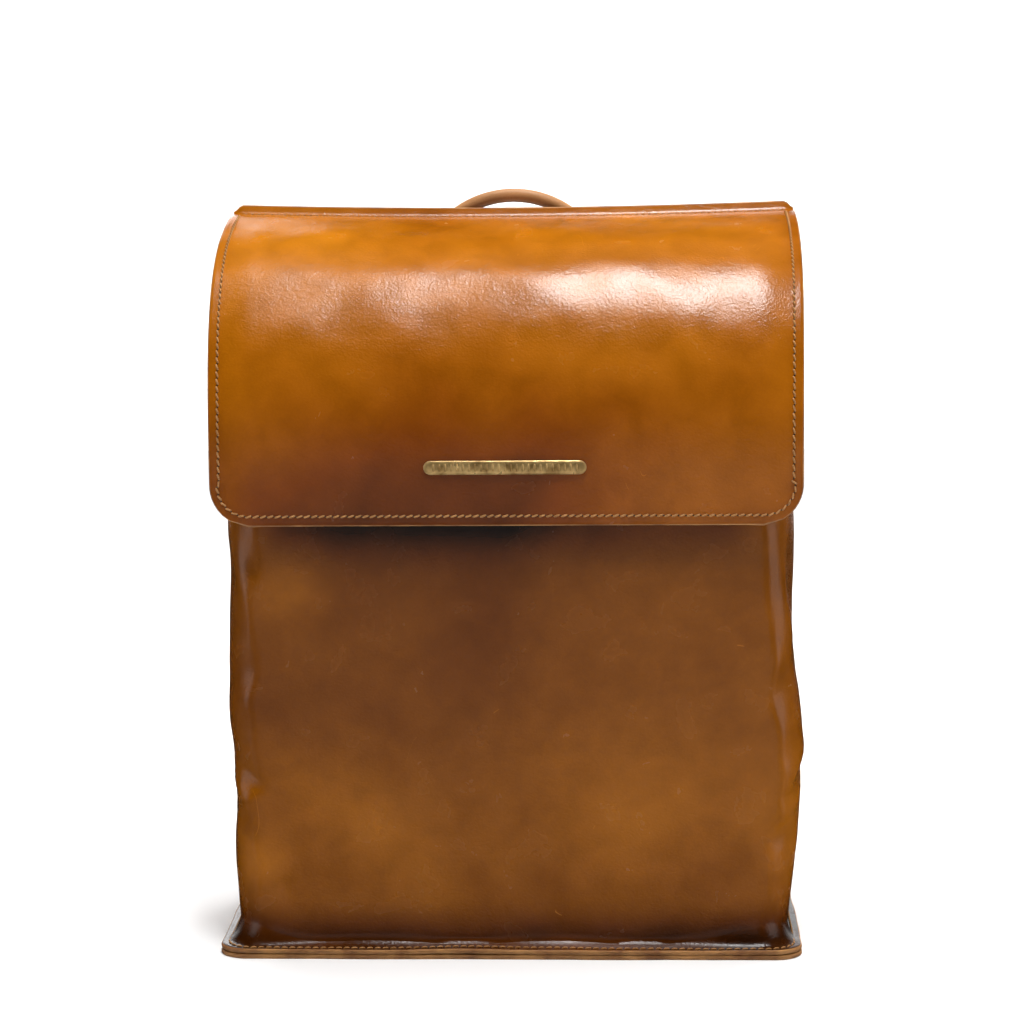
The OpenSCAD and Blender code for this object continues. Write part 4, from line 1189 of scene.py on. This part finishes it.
def make_pad(side, tag):
    """The stuffed shoulder pad, its backing, and the stitches round its border."""
    s = np.linspace(PAD_FROM + 1.4 * MM, PAD_TO - 1.4 * MM, 120)
    s = np.concatenate([[PAD_FROM, PAD_FROM + 0.4 * MM], s, [PAD_TO - 0.4 * MM, PAD_TO]])
    w = np.concatenate([[-1, -0.985], np.linspace(-0.96, 0.96, 33), [0.985, 1]])
    ss, ww = np.meshgrid(s, w, indexing="ij")
    wide = ww * pad_half(s)[:, None]
    top = pad_height(ss, wide)
    pts = on_strap(side, ss, top, wide)
    top = top + (waves(pts, 34 * MM, 31) * 0.35 * MM + waves(pts, 13 * MM, 32) * 0.14 * MM) * (top > 3.4 * MM)
    outer = on_strap(side, ss, top, wide).reshape(-1, 3)
    under = on_strap(side, ss, 1.5 * MM, wide).reshape(-1, 3)
    ns, nw = ss.shape
    m = ns * nw
    faces = []
    for i in range(ns - 1):
        for k in range(nw - 1):
            q = (i * nw + k, i * nw + k + 1, (i + 1) * nw + k + 1, (i + 1) * nw + k)
            faces += [q[::-1], tuple(m + j for j in q)]
    rim = [i * nw + k for i, k in rim_order(ns, nw)]
    faces += [(m + a, m + b, b, a) for a, b in zip(rim, rim[1:] + rim[:1])]
    verts = np.concatenate([outer, under])
    pad = make_object("strap_pad_" + tag, (verts, faces), [BACK_TAN, EDGE], "bag")
    corner, ahead, beside = (verts[faces[0][k]] for k in (0, 1, 3))
    if np.cross(ahead - corner, beside - corner)[1] < 0:
        pad.data.flip_normals()
    for f in pad.data.polygons[-len(rim):]:
        f.material_index = 1
    bevel(pad, 0.5 * MM, 2)
    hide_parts("strap_" + tag, "strap_foam_" + tag)
    s = np.linspace(PAD_FROM, PAD_TO, 60)
    backing = strap_sweep("strap_back_" + tag, side, s, pad_half(s), 0.05 * MM, 1.45 * MM, SUEDE, 8)
    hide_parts("strap_backing_" + tag)
    s = np.linspace(PAD_FROM + 3 * MM, PAD_TO - 3 * MM, 200)
    ends = np.minimum(s - PAD_FROM, PAD_TO - s)
    w = np.interp(ends, np.array([0, 3, 6, 12]) * MM, np.array([8, 11, 15.5, 17.8]) * MM)
    strap_seams("pad_seam", side, tag, s, 3.0 * MM, w, 0.36)


def make_strap(side, tag):
    """One shoulder strap: pad, the root sewn to the yoke, the end tongue, the lower strap and the keeper."""
    make_pad(side, tag)
    s = np.concatenate([[-22, -21.6, -20.5], np.linspace(-19, 21, 20)]) * MM
    half = np.interp(s, np.array([-22, -21.6, -20.5, -19]) * MM, np.array([13.6, 14.4, 14.9, 15]) * MM)
    low = np.where(s < 0, 0.02, 1.5 * (s > 15 * MM)) * MM
    root = strap_sweep("strap_root_" + tag, side, s, half, low, 2.4 * MM, BACK_TAN)
    s = np.linspace(PAD_TO - 12 * MM, TONGUE_TO - 6 * MM, 50)
    s = np.concatenate([s, TONGUE_TO - np.array([4.5, 3.2, 2.0, 1.1, 0.4, 0.0]) * MM])
    tip = np.clip((TONGUE_TO - s) / (9 * MM), 0, 1)
    half = 11 * MM * np.sqrt(np.clip(1 - (1 - tip) ** 2.4, 0.01, 1))
    end = strap_sweep("strap_end_" + tag, side, s, half, 2.52 * MM, 4.85 * MM, BACK_TAN)
    for name, s0, s1, t, w in (("root", -18, 12, 2.4, 12.4), ("end", 158, 219, 4.85, 8.8),
                               ("low", 164, 316, 2.35, 8.8)):
        strap_seams("strap_%s_seam" % name, side, tag, np.linspace(s0, s1, 60) * MM, t * MM, w * MM)
    s = np.concatenate([[160, 160.4, 161.4], np.linspace(163, 319, 110), [320.6, 321.6, 322]]) * MM
    half = np.interp(np.minimum(s - LOWER_FROM, LOWER_TO - s), np.array([0, 0.4, 1.4, 3]) * MM,
                     np.array([9.6, 10.4, 10.9, 11]) * MM)
    low = strap_sweep("lower_strap_leather_" + tag, side, s, half, 0.03 * MM, 2.38 * MM, BACK_TAN)
    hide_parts("lower_strap_" + tag)
    punched(side, tag)
    keeper(side, tag)


def punched(side, tag):
    """The burnished rims of the two adjusting holes beyond the tongue, and near-black floors in them: painted
    shade where the holes go through.
    """
    hole_r, top = 2.3 * MM, 2.38 * MM
    rims, floors = [], []
    a = np.linspace(0, 2 * math.pi, 25)
    for s0 in (225 * MM, 241 * MM):
        path = on_strap(side, s0 + 2.4 * MM * np.sin(a), top, 2.4 * MM * np.cos(a))
        rims.append(tube_mesh(path, 0.28 * MM, 6, 1.0, strap_normals(side, s0)))
        floors.append(loft([on_strap(side, s0 + hole_r * np.sin(a[:-1]), t, hole_r * np.cos(a[:-1]))
                            for t in (top + 0.05 * MM, top - 0.6 * MM)], flip=True))
    make_object("strap_hole_rims_" + tag, joined(rims), EDGE, "bag")
    make_object("strap_holes_" + tag, joined(floors), HOLE, "bag")


def keeper(side, tag):
    """A loop of dark leather round both straps."""
    s0, run = 182 * MM, 12 * MM
    w_in, t0, t1, wall = 11.5 * MM, -0.5 * MM, 5.4 * MM, 1.5 * MM
    inner = box_outline(-w_in, w_in, t0, t1, 0.6 * MM, 5)
    outer = box_outline(-w_in - wall, w_in + wall, t0 - wall, t1 + wall, 1.9 * MM, 5)
    k = np.linspace(-1, 1, 9)
    rings = [(outer * (1 + 0.12 * MM * (1 - kk ** 2) / (12 * MM)), kk * (run / 2 - 0.2 * MM)) for kk in k]
    rings += [(inner, kk * (run / 2 - 0.05 * MM)) for kk in k[::-1]]
    skin = loft([on_keeper(side, s0, s0 + s, ring[:, 1], ring[:, 0]) for ring, s in rings], closed=True)
    loop = make_object("keeper_leather_" + tag, skin, DARK, "keeper_" + tag)
    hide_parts("keeper_" + tag)
    xs = np.linspace(-w_in, w_in, 30)
    for off, suffix in ((-4.0, "a"), (4.0, "b")):
        line = on_keeper(side, s0, s0 + off * MM, t1 + wall + 0.05 * MM, xs)
        seam("keeper_seam_%s_%s" % (tag, suffix), line, strap_normals(side, s0), "keeper_" + tag,
             3, 2.5, 0.28, 0.32)


# ---------------------------------------------------------------- the inside pocket
def make_pocket():
    """A flat pouch of lining cloth with a leather welt round the zip, and the zip's two tapes."""
    lo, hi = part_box("pocket_panel")
    welt_lo, welt_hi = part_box("pocket_welt")
    zip_z = (welt_lo.z + welt_hi.z) / 2
    xs, zs = np.linspace(lo.x, hi.x, 70), np.linspace(lo.z, hi.z, 56)
    grid = np.array([[(x, lo.y + 0.5 * MM - 0.4 * MM * math.sin(x * 60 + z * 40) * math.sin(z * 30), z)
                      for z in zs] for x in xs])
    cloth = sheet("pocket_cloth", grid[:, zs < zip_z - 3.5 * MM], 0.6 * MM, TWILL, "bag", normals=FRONT)
    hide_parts("pocket_panel")
    cloth = sheet("pocket_cloth_top", grid[:, zs > zip_z + 3.5 * MM], 0.6 * MM, TWILL, "bag", normals=FRONT)
    x, z0, z1 = hi.x - 3 * MM, lo.z + 3 * MM, hi.z - 2 * MM
    line = upright(np.array([(lo.x + 3 * MM, z1), (lo.x + 3 * MM, z0), (x, z0), (x, z1)]), lo.y)
    seam("pocket_seam", resample(line, 2 * MM), FRONT, "bag", 3.2, 2.6, 0.3, 0.34)
    outer = dense(box_outline(welt_lo.x, welt_hi.x, welt_lo.z, welt_hi.z, 3 * MM), 2 * MM)
    slot_half, slot_x = 4.5 * MM, 83 * MM
    inner = np.clip(outer, (-slot_x, zip_z - slot_half), (slot_x, zip_z + slot_half))
    y0, y1 = welt_lo.y, welt_hi.y
    rings = [(outer, y1), (outer, (y0 + y1) / 2), (outer + unit(inner - outer) * 0.3 * MM, y0),
             (inner + unit(outer - inner) * 0.3 * MM, y0), (inner, (y0 + y1) / 2), (inner, y1)]
    skin = loft([upright(q, y) for q, y in rings], closed=True)
    welt = make_object("pocket_welt_leather", skin, DARK, "bag")
    bevel(welt, 0.15 * MM, 2)
    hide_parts("pocket_welt")
    middle = np.vstack([outer + inner, outer[:1] + inner[:1]]) / 2
    seam("welt_seam", upright(middle, y0 + 0.12 * MM), FRONT, "bag", 3.2, 2.6, 0.18, 0.24)
    lo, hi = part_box("zip_tape")
    for z0, z1, tag in ((lo.z, zip_z - 0.3 * MM, "low"), (zip_z + 0.3 * MM, hi.z, "high")):
        grid = np.array([[(x, lo.y + 0.08 * MM * math.sin(x * 300), z) for z in np.linspace(z0, z1, 6)]
                         for x in np.linspace(lo.x, hi.x, 90)])
        tape = sheet("zip_tape_" + tag, grid, hi.y - lo.y, TAPE, "bag", normals=FRONT)
        if tag == "low":
            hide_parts("zip_tape")


def make_badge():
    """A plain bar in place of the maker's lettering, with a bevelled rim and a row of upright flutes."""
    lo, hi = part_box("badge_bar")
    half, h, zc = hi.x, (hi.z - lo.z) / 2, (hi.z + lo.z) / 2
    a = np.linspace(-math.pi / 2, math.pi / 2, 12)
    right = np.column_stack([half - h + h * np.cos(a), h * np.sin(a)])
    outline = np.concatenate([right, -right])
    rings = []
    for shrink, depth in ((0.0, 0.0), (0.0, 0.75), (0.35, 1.1), (0.95, 1.15), (1.25, 0.7)):
        q = outline * (1 - shrink * MM / h * np.array([h / half, 1.0])) + np.array([0, zc])
        rings.append(upright(q, flap_front - depth * MM))
    parts = [loft(rings)]
    flute_r = np.array([0.2, 0.48, 0.6, 0.62, 0.6, 0.48, 0.2]) * MM
    for x in np.linspace(-half + 5 * MM, half - 5 * MM, 25):
        path = np.array([(x, flap_front - 0.72 * MM, zc + z * MM) for z in np.linspace(-1.9, 1.9, 7)])
        parts.append(tube_mesh(path, flute_r, 8, 1.0, REAR))
    bar = make_object("badge_bar_brass", joined(parts), BRASS, "flap")
    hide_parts("badge_bar")


def dress_cad():
    """Materials and softened edges for the CAD nodes that stay."""
    for material, names in (
        (BRASS, "badge_washers snap_sockets socket_washers snap_studs stud_washers rivets ball_studs "
                "stud_screws zip_teeth zip_stops zip_slider"),
        (DARK, "zip_pull"), (BOARD, "back_board"), (FOAM, "handle_core"),
    ):
        for name in names.split():
            node = bpy.data.objects[name]
            node.data.materials.clear()
            node.data.materials.append(material)
            node.data.polygons.foreach_set("material_index", [0] * len(node.data.polygons))
    for name in ("rivets", "ball_studs", "zip_slider", "snap_sockets", "snap_studs", "zip_pull"):
        bevel(bpy.data.objects[name], 0.25 * MM, 3)


make_yoke()
make_handle()
for strap_side, strap_tag in SIDES:
    make_strap(strap_side, strap_tag)
make_pocket()
make_badge()
dress_cad()
